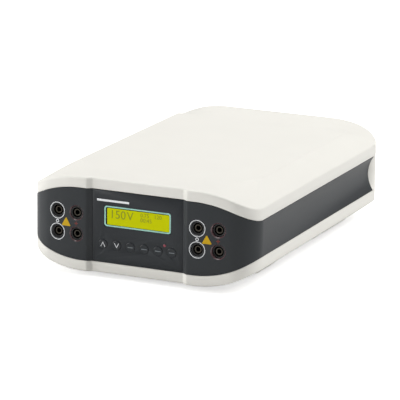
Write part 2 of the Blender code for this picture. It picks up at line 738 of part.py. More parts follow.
def mains_inlet():
    housing = rear_module("mains_inlet", INLET_X, INLET_WIDTH, INLET_LENGTH, INLET_HEIGHT)
    cavity_z = MID_Z + INLET_CAVITY_RISE
    boolean(housing, rear_box("inlet_cavity", INLET_X, INLET_CAVITY_WIDTH, INLET_CAVITY_DEPTH,
                              INLET_CAVITY_HEIGHT, cavity_z))
    boolean(housing, rear_box("drawer_slot", INLET_X, DRAWER_WIDTH + 2 * GAP, DRAWER_LENGTH + GAP,
                              DRAWER_HEIGHT + 2 * GAP, MID_Z - DRAWER_DROP))
    pins = (("live", -PIN_SPACING, -LIVE_PIN_DROP), ("neutral", PIN_SPACING, -LIVE_PIN_DROP),
            ("earth", 0.0, EARTH_PIN_RISE))
    length = INLET_LENGTH + PIN_TAIL - PIN_SETBACK
    for name, side, rise in pins:
        place = (INLET_X + side, REAR_Y - PIN_SETBACK - length / 2, cavity_z + rise)
        size = (PIN_WIDTH + 2 * GAP, INLET_LENGTH + OVER_CUT, PIN_HEIGHT + 2 * GAP)
        boolean(housing, add_cutter(f"pin_hole_{name}", box(size), place))
        bevel(add_part(f"inlet_pin_{name}", box((PIN_WIDTH, length, PIN_HEIGHT)), STEEL, place), 0.4 * MM, 1)


def fuse_drawer():
    place = (INLET_X, REAR_Y - DRAWER_LENGTH / 2, MID_Z - DRAWER_DROP)
    drawer = add_part("fuse_drawer", box((DRAWER_WIDTH, DRAWER_LENGTH, DRAWER_HEIGHT)), BLACK, place)
    notch = box((DRAWER_NOTCH * 3, DRAWER_NOTCH, DRAWER_NOTCH))
    boolean(drawer, add_cutter("drawer_notch", notch, (INLET_X, REAR_Y, place[2] + DRAWER_HEIGHT / 2)))
    fuse_place = (INLET_X, REAR_Y - FUSE_SETBACK, place[2] + GAP)
    depth = DRAWER_HEIGHT
    tray = box((FUSE_LENGTH + 2 * GAP, 2 * (FUSE_RADIUS + GAP), depth))
    floor = fuse_place[2] - FUSE_RADIUS - GAP
    boolean(drawer, add_cutter("fuse_tray", tray, (INLET_X, fuse_place[1], floor + depth / 2)))
    half = FUSE_LENGTH / 2
    profile = [(0, half), (FUSE_RADIUS, half), (FUSE_RADIUS, -half), (0, -half)]
    turned("fuse", profile, STEEL, fuse_place, steps=SMALL_ROUND, turn=(0, math.pi / 2, 0))


def power_switch():
    housing = rear_module("switch_housing", SWITCH_X, SWITCH_WIDTH, SWITCH_LENGTH, SWITCH_HEIGHT)
    width = SWITCH_WIDTH - 2 * SWITCH_WALL
    boolean(housing, rear_box("switch_cavity", SWITCH_X, width, SWITCH_CAVITY_DEPTH,
                              SWITCH_HEIGHT - 2 * SWITCH_WALL, MID_Z))
    outline = [(-ROCKER_HALF_HEIGHT, ROCKER_END), (0, ROCKER_MIDDLE), (ROCKER_HALF_HEIGHT, ROCKER_END)]
    outline += arc((0, 0), ROCKER_MIDDLE, 0.0, -math.pi, 6)
    curve = bpy.data.curves.new("rocker_outline", "CURVE")
    curve.dimensions = "2D"
    curve.fill_mode = "BOTH"
    curve.extrude = width / 2 - GAP
    spline = curve.splines.new("POLY")
    spline.points.add(len(outline) - 1)
    spline.use_cyclic_u = True
    for point, (u, v) in zip(spline.points, outline):
        point.co = (u, v, 0, 1)
    guide = bpy.data.objects.new("rocker_outline", curve)
    PARTS.objects.link(guide)
    bpy.context.view_layer.update()
    mesh = bpy.data.meshes.new_from_object(guide.evaluated_get(bpy.context.evaluated_depsgraph_get()))
    bpy.data.objects.remove(guide, do_unlink=True)
    bm = bmesh.new()
    bm.from_mesh(mesh)
    bmesh.ops.remove_doubles(bm, verts=bm.verts, dist=1e-6)
    lie = Matrix(((0, 0, 1), (0, 1, 0), (-1, 0, 0))).to_4x4()
    bmesh.ops.transform(bm, matrix=lie, verts=bm.verts)
    pivot = (SWITCH_X, REAR_Y - ROCKER_PIVOT_DEPTH, MID_Z)
    add_part("power_rocker", bm, BLACK, pivot, (-ROCKER_TILT, 0, 0))


def fan():
    """The frame's bore is open to the rear, and three struts inside carry the hub."""
    back = REAR_Y - PANEL_WALL - GAP
    centre = Vector((FAN_X, back - FAN_DEPTH / 2, MID_Z))
    sideways = (math.pi / 2, 0, 0)
    frame = add_part("fan_housing", box((FAN_SIZE, FAN_DEPTH, FAN_SIZE)), BLACK, centre)
    boolean(frame, add_cutter("fan_bore", rod(FAN_BORE, 2 * FAN_DEPTH, 32), centre, sideways))
    inner = centre.y - FAN_DEPTH / 2 + GAP + FAN_HUB_PLATE / 2
    for index in range(3):
        turn = 2 * math.pi * index / 3 + FAN_STRUT_TURN
        reach = FAN_BORE + WALL / 2
        strut = add_cutter(f"fan_strut_{index}", box((reach, FAN_STRUT_DEPTH, FAN_STRUT), (reach / 2, 0, 0)),
                           (FAN_X, inner, MID_Z), (0, turn, 0))
        boolean(frame, strut, "UNION")
    plate = add_cutter("fan_hub_plate", rod(FAN_HUB, FAN_HUB_PLATE), (FAN_X, inner, MID_Z), sideways)
    boolean(frame, plate, "UNION")
    start = centre.y - FAN_DEPTH / 2 + FAN_HUB_PLATE + 2 * GAP
    end = back - 2 * GAP
    middle = (start + end) / 2
    rotor = add_part("fan_rotor", rod(FAN_HUB, end - start), BLACK, (FAN_X, middle, MID_Z), sideways)
    root = FAN_HUB - WALL
    for index in range(FAN_BLADE_COUNT):
        turn = Matrix.Rotation(2 * math.pi * index / FAN_BLADE_COUNT, 4, "Y")
        pitch = Matrix.Rotation(FAN_BLADE_PITCH, 4, "X")
        size = (FAN_BLADE_TIP - root, FAN_BLADE_CHORD, FAN_BLADE_THICKNESS)
        blade = box(size, ((FAN_BLADE_TIP + root) / 2, 0, 0))
        bmesh.ops.transform(blade, matrix=turn @ pitch, verts=blade.verts)
        boolean(rotor, add_cutter(f"fan_blade_{index}", blade, (FAN_X, middle, MID_Z)), "UNION")


def main_board():
    length = BOARD_REAR - BOARD_FRONT
    place = (0, (BOARD_REAR + BOARD_FRONT) / 2, BOARD_TOP - BOARD_THICKNESS / 2)
    add_part("main_board", box((BOARD_WIDTH, length, BOARD_THICKNESS)), BOARD, place)


def transformer():
    """A laminated core with two windows, and the winding round its middle leg."""
    centre = Vector((*CORE_PLACE, BOARD_TOP + GAP + CORE_SIZE[2] / 2))
    core = add_part("transformer_core", box(CORE_SIZE), CORE, centre)
    for side in (-1, 1):
        window = box((CORE_WINDOW[0], 2 * CORE_SIZE[1], CORE_WINDOW[1]))
        place = centre + Vector((side * (CORE_LEG + CORE_WINDOW[0]) / 2, 0, 0))
        boolean(core, add_cutter(f"core_window_{side}", window, place))
    width = CORE_LEG + 2 * CORE_WINDOW[0] - 2 * GAP
    height = CORE_WINDOW[1] - 2 * GAP
    coil = add_part("transformer_coil", box((width, CORE_SIZE[1] + 2 * COIL_OVERHANG, height)), COIL, centre)
    bevel(coil, WALL)
    hole = box((CORE_LEG + 2 * GAP, CORE_SIZE[1] + 2 * GAP, CORE_SIZE[2]))
    boolean(coil, add_cutter("coil_hole", hole, centre))


def heat_sink():
    width, length, height = SINK_SIZE
    centre = Vector((*SINK_PLACE, BOARD_TOP + GAP + height / 2))
    sink = add_part("heat_sink", box(SINK_SIZE), ALUMINIUM, centre)
    pitch = (width - SINK_FIN) / (SINK_FINS - 1)
    for index in range(SINK_FINS - 1):
        slot = box((pitch - SINK_FIN, 2 * length, height))
        offset = Vector(((index + 1) * pitch - pitch / 2 + SINK_FIN / 2 - width / 2, 0, SINK_BASE))
        boolean(sink, add_cutter(f"sink_slot_{index}", slot, centre + offset))


def capacitors():
    radius = CAPACITOR_RADIUS
    edge = 1.2 * MM
    profile = [(0, CAPACITOR_HEIGHT), (radius - edge, CAPACITOR_HEIGHT), (radius, CAPACITOR_HEIGHT - edge),
               (radius, edge), (radius - edge, 0), (0, 0)]
    for index, (x, y) in enumerate(CAPACITOR_PLACES):
        turned(f"capacitor_{index + 1}", profile, SLEEVE, (x, y, BOARD_TOP + GAP), turn=(0, 0, 0))


def feet():
    height = FLOOR_UNDERSIDE - GAP
    for index, (x, y) in enumerate(four_places(FOOT_X, FOOT_Y)):
        foot = rod(FOOT_RADIUS, height, ROUND, FOOT_TOP_RADIUS)
        add_part(f"foot_{index + 1}", foot, RUBBER, (x, y, height / 2))


def case_screws():
    """Each screw's head bears on the shoulder in the tray's boss, and its shank bites into the cover's."""
    head = MID_Z - SCREW_GRIP - GAP
    top = SCREW_GRIP + 2 * GAP + SCREW_BITE - GAP
    profile = [(0, top), (SCREW_RADIUS, top), (SCREW_RADIUS, 0), (SCREW_HEAD_RADIUS, 0),
               (SCREW_HEAD_RADIUS, -SCREW_HEAD), (0, -SCREW_HEAD)]
    for index, (x, y) in enumerate(four_places(BOSS_X, BOSS_Y)):
        turned(f"case_screw_{index + 1}", profile, STEEL, (x, y, head), steps=SMALL_ROUND, turn=(0, 0, 0))


top_cover()
bottom_tray()
front_fascia()
control_overlay()
side_band("side_band_left", -1)
side_band("side_band_right", 1)
rear_panel()
display()
keys()
run_lamp()
output_sockets()
output_boards()
mains_inlet()
fuse_drawer()
power_switch()
fan()
main_board()
transformer()
heat_sink()
capacitors()
feet()
case_screws()
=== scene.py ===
"""Bench power supply: the finish of every surface, modelled round the fixed frame of solid parts."""
import math

import bmesh
import bpy
from mathutils import Matrix, Vector


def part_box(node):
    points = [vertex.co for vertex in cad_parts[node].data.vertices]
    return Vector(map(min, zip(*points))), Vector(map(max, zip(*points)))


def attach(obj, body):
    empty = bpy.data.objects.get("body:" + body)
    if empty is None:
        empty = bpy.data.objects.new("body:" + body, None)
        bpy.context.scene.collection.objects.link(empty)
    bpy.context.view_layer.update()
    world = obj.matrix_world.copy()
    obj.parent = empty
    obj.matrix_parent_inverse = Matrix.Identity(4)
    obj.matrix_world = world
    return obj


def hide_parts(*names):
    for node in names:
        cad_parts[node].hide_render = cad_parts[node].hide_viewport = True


bl_info = {
    "name": "Bench Power Supply",
    "version": (1, 0, 0),
    "blender": (4, 5, 0),
    "location": "View3D > Sidebar > Power Supply",
    "description": "Builds the visible shells, panels, sockets, keys and finishes of a bench power supply",
    "category": "Add Mesh",
}

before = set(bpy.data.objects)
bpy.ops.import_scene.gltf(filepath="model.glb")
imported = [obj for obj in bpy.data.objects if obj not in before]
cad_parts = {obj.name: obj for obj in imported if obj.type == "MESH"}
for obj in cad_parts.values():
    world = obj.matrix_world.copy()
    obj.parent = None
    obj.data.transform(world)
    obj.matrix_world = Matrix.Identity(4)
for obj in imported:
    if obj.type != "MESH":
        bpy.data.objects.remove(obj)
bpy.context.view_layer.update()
MM = 0.001
SOCKETS = sorted(name[len("socket_"):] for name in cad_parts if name.startswith("socket_"))
KEYS = ("key_up", "key_down", "key_set", "key_mode", "key_stop", "key_run")
FACING_FRONT = Matrix.Rotation(math.pi / 2, 4, "X")


def place_and_size(node):
    """Centre and size of a solid part's box."""
    low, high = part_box(node)
    return (low + high) / 2, high - low


def middle(node):
    centre, _ = place_and_size(node)
    return centre


def mouth(name):
    """The middle of a socket's front face."""
    centre, size = place_and_size(f"socket_{name}")
    return Vector((centre.x, centre.y - size.y / 2, centre.z))


COVER_LOW, COVER_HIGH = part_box("top_cover")
FASCIA_LOW, FASCIA_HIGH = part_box("front_fascia")
HALF_WIDTH = COVER_HIGH.x
FRONT_Y = COVER_LOW.y
REAR_Y = COVER_HIGH.y
MID_Z = (FASCIA_LOW.z + FASCIA_HIGH.z) / 2
BODY = "case"
# deep enough to pass right through any panel
CUTTER_DEPTH = 20 * MM


# Settings

def length(name, description, default):
    return bpy.props.FloatProperty(name=name, description=description, default=default, unit="LENGTH")


def angle_in_degrees(name, description, degrees):
    return bpy.props.FloatProperty(name=name, description=description, default=math.radians(degrees),
                                   subtype="ANGLE")


class CaseSizes(bpy.types.PropertyGroup):
    """Curves of the case, as the solid parts have them"""
    bow_radius: length("Bow radius", "Plan radius of each pod", 0.25)
    front_corner: length("Front corner", "Plan radius of the front corners", 0.0255)
    rear_corner: length("Rear corner", "Plan radius of the rear corners", 0.028)
    recess_half: length("Recess half width", "Half width of the sunk panel", 0.0435)
    recess_ramp: length("Recess ramp", "Width of the ramp beside the panel", 0.0045)
    recess_depth: length("Recess depth", "Depth of the sunk panel", 0.0028)
    band_half: length("Band half height", "Half height of the dark band in front", 0.0325)
    lip_half: length("Lip half height", "Half height of the case in front", 0.0425)
    shoulder_start: length("Shoulder start", "Where the shoulders begin to fall", 0.054)
    band_shoulder: length("Band shoulder", "Radius of the band's shoulder", 0.096)
    lip_shoulder: length("Lip shoulder", "Radius of the lip's shoulder", 0.106)
    lip_fillet: length("Lip fillet", "Radius of the lip's upper edge", 0.0022)
    fillet_angle: angle_in_degrees("Fillet angle", "How far the lip's fillet turns", 65)
    border_crown: bpy.props.FloatProperty(name="Border crown", description="Bulge of the border",
                                          default=0.25)
    rim_round: length("Rim round", "Rounding of the edge beside the band", 0.0005)
    platform_drop: length("Platform drop", "How far the platform lies below the lip", 0.0014)
    platform_side: length("Side border", "Width of the border at the sides", 0.021)
    platform_front: length("Front border", "Width of the border in front", 0.0298)
    platform_sweep: length("Front sweep", "How far the platform's front edge sweeps", 0.035)
    platform_rear: length("Rear border", "Width of the border at the rear", 0.044)
    wall: length("Wall", "Wall of the case halves", 0.002)
    panel_wall: length("Panel wall", "Wall of the front and rear panels", 0.003)
    gap: length("Gap", "Seam between neighbouring mouldings", 0.0003)
    channel_front: length("Channel front", "Depth of the side channel in front", 0.0014)
    fade: length("Channel fade", "Length in which the channel fades out", 0.012)
    channel_rear: length("Channel rear", "Depth of the side channel at the rear", 0.0053)


class DetailSizes(bpy.types.PropertyGroup):
    """Sizes of the printed marks and small details"""
    ring_radius: length("Ring radius", "Radius of the ring round a socket", 0.0072)
    ring_line: length("Ring line", "Line width of the printed rings", 0.00055)
    ink: length("Ink", "Thickness drawn for printed ink", 0.00006)
    triangle: length("Triangle", "Radius of the plain yellow triangle", 0.0054)
    shroud_setback: length("Shroud setback", "Depth of a shroud's face", 0.0013)
    contact_setback: length("Contact setback", "Depth of a contact tube's face", 0.0021)
    sink_radius: length("Countersink radius", "Radius where a socket hole opens", 0.0068)
    sink_depth: length("Countersink depth", "Depth of the cone round a socket", 0.0009)


def colour(name, value):
    return bpy.props.FloatVectorProperty(name=name, description=f"Base colour of the {name.lower()}",
                                         subtype="COLOR", size=3, min=0.0, max=1.0, default=linear(value))


def linear(value):
    """An sRGB hex colour as linear light."""
    parts = [int(value[index:index + 2], 16) / 255 for index in (1, 3, 5)]
    return tuple(c / 12.92 if c <= 0.04045 else ((c + 0.055) / 1.055) ** 2.4 for c in parts)


class FinishColours(bpy.types.PropertyGroup):
    """Colours of the finishes"""
    case: colour("Case ABS", "#E9E7E0")
    charcoal: colour("Charcoal paint", "#262A2D")
    overlay: colour("Polyester overlay", "#22262A")
    key: colour("Key", "#22262A")
    black: colour("Black polyamide", "#141415")
    bezel: colour("Bezel", "#A4D6C8")
    crystal: colour("Backlit crystal", "#B9BD04")
    segment: colour("Crystal segment", "#8E9410")
    ink: colour("White ink", "#EEF0F2")
    grey_ink: colour("Grey ink", "#72787C")
    red_ink: colour("Red ink", "#783630")
    yellow_ink: colour("Yellow ink", "#CCA406")
    # the countersink colours are lighter than the charcoal paint, partly as a painted highlight for the glint
    # on each hole's rim
    sink: colour("Countersink", "#45484B")
    red_sink_with_painted_glint: colour("Red countersink", "#5E4246")
    lamp: colour("Lamp lens", "#8C3E4A")
    # drawn darker than bare nickel, as painted shade for metal deep in the sockets and the inlet
    brass: colour("Nickel plated brass", "#4C4841")
    steel: colour("Zinc plated steel", "#B4B6B8")
    board: colour("Solder resist", "#1E5A34")
    core: colour("Core varnish", "#55565A")
    tape: colour("Coil tape", "#C9A23A")
    aluminium: colour("Extruded aluminium", "#C3C5C8")
    sleeve: colour("Capacitor sleeve", "#1C2A4A")
    rubber: colour("Foot rubber", "#1D1D1E")
    glass: colour("Fuse glass", "#C9CCC4")


class StageSettings(bpy.types.PropertyGroup):
    """Camera and light"""
    azimuth: angle_in_degrees("Azimuth", "Camera azimuth", 24.43)
    elevation: angle_in_degrees("Elevation", "Camera elevation", 14.49)
    roll: angle_in_degrees("Roll", "Camera roll", 0.65)
    distance: length("Distance", "Camera distance", 2.538)
    target: bpy.props.FloatVectorProperty(name="Target", description="Point the camera looks at", size=3,
                                          subtype="TRANSLATION", default=(0.04896, -0.13246, 0.07444))
    lens: bpy.props.FloatProperty(name="Lens", description="Focal length in millimetres", default=265.2)
    world: bpy.props.FloatProperty(name="World", description="Strength of the surrounding light",
                                   default=0.24)


# Materials

def add_node(tree, kind, links=(), **settings):
    """Adds a node, sets its attributes or inputs, and links (output socket, input name) pairs to it."""
    node = tree.nodes.new(kind)
    for key, value in settings.items():
        if hasattr(node, key):
            setattr(node, key, value)
        else:
            node.inputs[key.replace("_", " ").title()].default_value = value
    for source, target in links:
        tree.links.new(source, node.inputs[target])
    return node


def finish(name, base, roughness, grain, bump, spread=0.04, metallic=0.0, coat=0.0, ior=1.5,
           stretch=(1, 1, 1)):
    """A material with grain of a real size in millimetres, slight colour variation and uneven gloss."""
    if name in bpy.data.materials:
        return bpy.data.materials[name]
    material = bpy.data.materials.new(name)
    material.use_nodes = True
    tree = material.node_tree
    shader = tree.nodes["Principled BSDF"]
    shader.inputs["Metallic"].default_value = metallic
    shader.inputs["Coat Weight"].default_value = coat
    if not metallic:
        shader.inputs["IOR"].default_value = ior
    place = add_node(tree, "ShaderNodeTexCoord")
    turn = add_node(tree, "ShaderNodeMapping", [(place.outputs["Object"], "Vector")], Scale=stretch)
    fine = add_node(tree, "ShaderNodeTexNoise", [(turn.outputs[0], "Vector")], Scale=1 / (grain * MM),
                    Detail=3.0)
    broad = add_node(tree, "ShaderNodeTexNoise", [(turn.outputs[0], "Vector")], Scale=25.0, Detail=2.0)
    dark = tuple(c * (1 - spread) for c in base)
    light = tuple(min(c * (1 + spread), 1.0) for c in base)
    ramp = add_node(tree, "ShaderNodeValToRGB", [(broad.outputs["Fac"], "Fac")])
    ramp.color_ramp.elements[0].position = 0.35
    ramp.color_ramp.elements[0].color = (*dark, 1)
    ramp.color_ramp.elements[1].position = 0.65
    ramp.color_ramp.elements[1].color = (*light, 1)
    gloss = add_node(tree, "ShaderNodeMapRange", [(fine.outputs["Fac"], "Value")])
    gloss.inputs["To Min"].default_value = max(roughness - 0.05, 0.02)
    gloss.inputs["To Max"].default_value = roughness + 0.05
    relief = add_node(tree, "ShaderNodeBump", [(fine.outputs["Fac"], "Height")], Strength=bump,
                      Distance=0.05 * MM)
    tree.links.new(ramp.outputs["Color"], shader.inputs["Base Color"])
    tree.links.new(gloss.outputs["Result"], shader.inputs["Roughness"])
    tree.links.new(relief.outputs["Normal"], shader.inputs["Normal"])
    return material


def moulded_abs():
    # spark-eroded ABS: an even satin skin with a fine pebble of about half a millimetre
    return finish("moulded_abs", colours().case, 0.42, 0.55, 0.18, spread=0.006)


def charcoal_paint():
    # soft-touch paint over moulded ABS: a satin coat with a speckle finer than the case's
    return finish("charcoal_paint", colours().charcoal, 0.38, 0.45, 0.22, spread=0.05, ior=1.42)


def polyester_film():
    # screen-printed polyester: flatter and a little glossier than the painted moulding round it
    return finish("polyester_film", colours().overlay, 0.34, 0.35, 0.08, spread=0.03, ior=1.42)


def key_plastic():
    # moulded ABS caps, darker than the film, polished a little by fingers
    return finish("key_abs", colours().key, 0.32, 0.4, 0.1, spread=0.05, ior=1.42)


def black_polyamide():
    # glass-filled polyamide: black, faintly mottled where the fibres reach the skin
    return finish("black_polyamide", colours().black, 0.36, 0.6, 0.25, spread=0.2)


def plated_brass_in_painted_shade():
    # nickel over brass: a warm grey metal with turning marks round the tube, drawn darker than bare nickel as
    # painted shade for contacts and blades deep in their holes
    return finish("nickel_plated_brass_painted_shade", colours().brass, 0.3, 0.25, 0.15, spread=0.06, metallic=1.0)


def zinc_steel():
    return finish("zinc_plated_steel", colours().steel, 0.38, 0.5, 0.2, spread=0.08, metallic=1.0)


def printed_ink(name, value):
    # screen-printed ink: a thin even film with a slightly rough skin
    return finish(name, value, 0.5, 0.3, 0.06, spread=0.03, ior=1.35)


def crystal_display():
    """A backlit liquid crystal: an even yellow-green glow under clear polyester."""
    name = "backlit_crystal"
    if name in bpy.data.materials:
        return bpy.data.materials[name]
    material = finish(name, colours().crystal, 0.3, 0.5, 0.0, spread=0.03, ior=1.12)
    shader = material.node_tree.nodes["Principled BSDF"]
    shader.inputs["Emission Color"].default_value = (*colours().crystal, 1)
    shader.inputs["Emission Strength"].default_value = 0.2
    return material


# Modelling

def case():
    return bpy.context.scene.supply_case


def detail():
    return bpy.context.scene.supply_detail


def colours():
    return bpy.context.scene.supply_colours


def clear_selection():
    if bpy.context.mode != "OBJECT":
        bpy.ops.object.mode_set(mode="OBJECT")
    bpy.ops.object.select_all(action="DESELECT")


def choose(piece):
    clear_selection()
    piece.select_set(True)
    bpy.context.view_layer.objects.active = piece


def hand_over(piece, name, material, body=BODY, nodes=()):
    """Names a finished piece, applies its place, gives it its finish and sets it riding."""
    choose(piece)
    bpy.ops.object.transform_apply(location=True, rotation=True, scale=True)
    piece.name = name
    piece.data.name = name
    piece.data.materials.clear()
    piece.data.materials.append(material)
    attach(piece, body)
    if nodes:
        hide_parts(*nodes)
    return piece


def apply_all(piece):
    choose(piece)
    for modifier in list(piece.modifiers):
        bpy.ops.object.modifier_apply(modifier=modifier.name)


def smooth(piece, angle=35):
    choose(piece)
    bpy.ops.object.shade_smooth_by_angle(angle=math.radians(angle))


def soften(piece, width, segments=3, angle=40):
    """Rounds the edges that are sharper than the angle."""
    modifier = piece.modifiers.new("soft_edges", "BEVEL")
    modifier.width = width
    modifier.segments = segments
    modifier.limit_method = "ANGLE"
    modifier.angle_limit = math.radians(angle)
    modifier.harden_normals = False
    apply_all(piece)


def cut(piece, cutter):
    """Cuts one shape out of a piece and removes the cutter."""
    modifier = piece.modifiers.new("cut", "BOOLEAN")
    modifier.object = cutter
    modifier.solver = "MANIFOLD"
    apply_all(piece)
    bpy.data.objects.remove(cutter, do_unlink=True)


def block(size, centre):
    clear_selection()
    bpy.ops.mesh.primitive_cube_add(size=1, location=centre)
    piece = bpy.context.object
    piece.scale = size
    bpy.ops.object.transform_apply(location=False, rotation=False, scale=True)
    return piece


def rounded_plate(size, centre, radius):
    """A plate in the plane of the front with rounded corners."""
    piece = block(size, centre)
    choose(piece)
    bpy.ops.object.mode_set(mode="EDIT")
    bpy.ops.mesh.select_all(action="DESELECT")
    bm = bmesh.from_edit_mesh(piece.data)
    for edge in bm.edges:
        run = edge.verts[1].co - edge.verts[0].co
        edge.select_set(abs(run.y) > 0.9 * run.length)
    bmesh.update_edit_mesh(piece.data)
    bpy.ops.mesh.bevel(offset=radius, segments=8)
    bpy.ops.object.mode_set(mode="OBJECT")
    return piece


def turned(profile, steps=48, closed=False, cap=True):
    """Extrudes and scales a circle along Z, from the first (radius, height) to the last."""
    clear_selection()
    fill = "NGON" if cap else "NOTHING"
    radius, height = profile[0]
    bpy.ops.mesh.primitive_circle_add(vertices=steps, radius=radius, fill_type=fill, location=(0, 0, height))
    piece = bpy.context.object
    bpy.ops.object.transform_apply(location=True)
    bpy.ops.object.mode_set(mode="EDIT")
    bpy.ops.mesh.select_all(action="SELECT")
    for next_radius, next_height in profile[1:]:
        move = {"value": (0, 0, next_height - height)}
        if cap:
            bpy.ops.mesh.extrude_region_move(TRANSFORM_OT_translate=move)
        else:
            bpy.ops.mesh.extrude_edges_move(TRANSFORM_OT_translate=move)
        share = next_radius / radius
        bpy.ops.transform.resize(value=(share, share, 1), center_override=(0, 0, next_height))
        radius, height = next_radius, next_height
    bpy.ops.mesh.select_all(action="SELECT")
    if closed:
        bpy.ops.mesh.remove_doubles(threshold=1e-7)
    bpy.ops.mesh.normals_make_consistent(inside=False)
    bpy.ops.object.mode_set(mode="OBJECT")
    return piece


def copy_of(piece, matrix):
    """A copy with its own mesh, moved by the matrix."""
    twin = bpy.data.objects.new(piece.name, piece.data.copy())
    bpy.context.scene.collection.objects.link(twin)
    twin.data.transform(matrix)
    return twin


def discard(piece):
    bpy.data.objects.remove(piece, do_unlink=True)


def from_rows(rows, closed=False):
    """A surface through rows of points, each row as long as the others."""
    bm = bmesh.new()
    grid = [[bm.verts.new(point) for point in row] for row in rows]
    pairs = list(zip(grid, grid[1:]))
    if closed:
        pairs.append((grid[-1], grid[0]))
    for left, right in pairs:
        for level in range(len(left) - 1):
            bm.faces.new((left[level], right[level], right[level + 1], left[level + 1]))
    return bm, grid


def to_object(bm, name):
    mesh = bpy.data.meshes.new(name)
    bm.to_mesh(mesh)
    bm.free()
    piece = bpy.data.objects.new(name, mesh)
    bpy.context.scene.collection.objects.link(piece)
    return piece


def flat_plate(outline, thickness):
    """A flat outline extruded towards the front."""
    bm = bmesh.new()
    face = bm.faces.new([bm.verts.new(point) for point in outline])
    made = bmesh.ops.extrude_face_region(bm, geom=[face])
    verts = [item for item in made["geom"] if isinstance(item, bmesh.types.BMVert)]
    bmesh.ops.translate(bm, verts=verts, vec=(0, -thickness, 0))
    return bm


def wall(piece, thickness):
    modifier = piece.modifiers.new("wall", "SOLIDIFY")
    modifier.thickness = thickness
    modifier.offset = -1.0
    modifier.use_even_offset = False
    apply_all(piece)


def worked_copy(node, width, name, material, body=BODY, segments=2):
    """A merged copy of a solid part with its flats made whole and its edges rounded."""
    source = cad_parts[node]
    piece = bpy.data.objects.new(name, source.data.copy())
    bpy.context.scene.collection.objects.link(piece)
    choose(piece)
    bpy.ops.object.mode_set(mode="EDIT")
    bpy.ops.mesh.select_all(action="SELECT")
    bpy.ops.mesh.remove_doubles(threshold=1e-6)
    bpy.ops.mesh.dissolve_limited(angle_limit=math.radians(1))
    bpy.ops.object.mode_set(mode="OBJECT")
    soften(piece, width, segments)
    smooth(piece)
    return hand_over(piece, name, material, body, (node,))


def arc(centre, radius, start, end, count):
    step = (end - start) / count
    return [(centre[0] + radius * math.cos(start + step * i), centre[1] + radius * math.sin(start + step * i))
            for i in range(count + 1)]


def fall(x, height, radius):
    """Height of a shoulder curve at a distance x from the centre plane."""
    run = max(abs(x) - case().shoulder_start, 0.0)
    return height - (radius - math.sqrt(radius ** 2 - run ** 2))


def band_height(x):
    return fall(x, case().band_half, case().band_shoulder)


def lip_height(x):
    return fall(x, case().lip_half, case().lip_shoulder)


def bow():
    """Centre of the bow, centre of the front corner, and the angle where they meet."""
    sizes = case()
    centre = Vector((sizes.recess_half + sizes.recess_ramp, FRONT_Y + sizes.bow_radius))
    corner_x = HALF_WIDTH - sizes.front_corner
    rise = math.sqrt((sizes.bow_radius - sizes.front_corner) ** 2 - (corner_x - centre.x) ** 2)
    corner = Vector((corner_x, centre.y - rise))
    return centre, corner, math.atan2(corner.y - centre.y, corner.x - centre.x)


def pod_y(x):
    centre, _, _ = bow()
    return centre.y - math.sqrt(case().bow_radius ** 2 - (abs(x) - centre.x) ** 2)


def panel_y():
    return FRONT_Y + case().recess_depth


def front_outline():
    sizes = case()
    centre, corner, angle = bow()
    ramp_end = sizes.recess_half + sizes.recess_ramp
    # the ramp's two bends are eased over a fraction of a millimetre
    ramp = []
    for share in (0.0, 0.06, 0.12, 0.3, 0.5, 0.7, 0.88, 0.94):
        eased = share * share * (3 - 2 * share) * 0.35 + share * 0.65
        ramp.append((sizes.recess_half + sizes.recess_ramp * share, panel_y() - sizes.recess_depth * eased))
    flat_end = sizes.recess_half - 0.4 * MM
    points = [(x, panel_y()) for x in (0.0, sizes.recess_half * 0.5, flat_end)]
    points += ramp + [(ramp_end, FRONT_Y)]
    points += arc(centre, sizes.bow_radius, -math.pi / 2, angle, 24)[1:]
    return points + arc(corner, sizes.front_corner, angle, 0.0, 24)[1:]


def rear_outline():
    radius = case().rear_corner
    corner = (HALF_WIDTH - radius, REAR_Y - radius)
    points = arc(corner, radius, 0.0, math.pi / 2, 24)
    run = corner[0] - case().shoulder_start
    points += [(corner[0] - run * step / 8, REAR_Y) for step in range(1, 9)]
    return points + [(case().shoulder_start * 0.5, REAR_Y), (0.0, REAR_Y)]


def platform_point(x, y, side_start, side_end):
    """The point of the platform's edge that belongs to a point of the outline."""
    sizes = case()
    half = HALF_WIDTH - sizes.platform_side
    side = x * half / HALF_WIDTH
    near = FRONT_Y + sizes.platform_front
    corner = near + sizes.platform_sweep
    far = REAR_Y - sizes.platform_rear
    if y >= side_end:
        return side, far
    if y > side_start:
        return side, corner + (far - corner) * (y - side_start) / (side_end - side_start)
    return side, near + sizes.platform_sweep * (side / half) ** 2


def shell_column(points, index, side_start, side_end):
    """Points from the rim up over the lip and the border to the platform, above the middle plane."""
    sizes = case()
    x, y = points[index]
    before = Vector(points[max(index - 1, 0)])
    after = Vector(points[min(index + 1, len(points) - 1)])
    along = (after - before).normalized()
    if x == 0.0 and y > 0.0:
        along = Vector((-1, 0))
    elif y < 0.0 and x <= sizes.recess_half + sizes.recess_ramp:
        along = Vector((1, 0))
    across = Vector((-along.y, along.x, 0))
    start = Vector((x, y, 0))
    lip = lip_height(x)
    band = band_height(x) + sizes.gap * 0.5
    rim = sizes.rim_round
    column = [start + across * rim + Vector((0, 0, band)),
              start + across * rim * 0.3 + Vector((0, 0, band + rim * 0.3)),
              start + Vector((0, 0, band + rim))]
    side, far = platform_point(x, y, side_start, side_end)
    edge = Vector((side, far, sizes.lip_half - sizes.platform_drop))
    run = Vector((side - x, far - y, 0)).length
    slope = math.atan2((edge.z - lip) * (1 + sizes.border_crown), run)
    top = min(sizes.fillet_angle, math.pi / 2 - slope)
    for step in range(9):
        angle = top * step / 8
        inset = sizes.lip_fillet * (1 - math.cos(angle))
        rise = lip - sizes.lip_fillet + sizes.lip_fillet * math.sin(angle)
        column.append(start + across * inset + Vector((0, 0, rise)))
    last = column[-1]
    for step in range(1, 13):
        share = step / 12
        point = last.lerp(edge, share)
        point.z = last.z + (edge.z - last.z) * (share + sizes.border_crown * share * (1 - share))
        column.append(point)
    return column


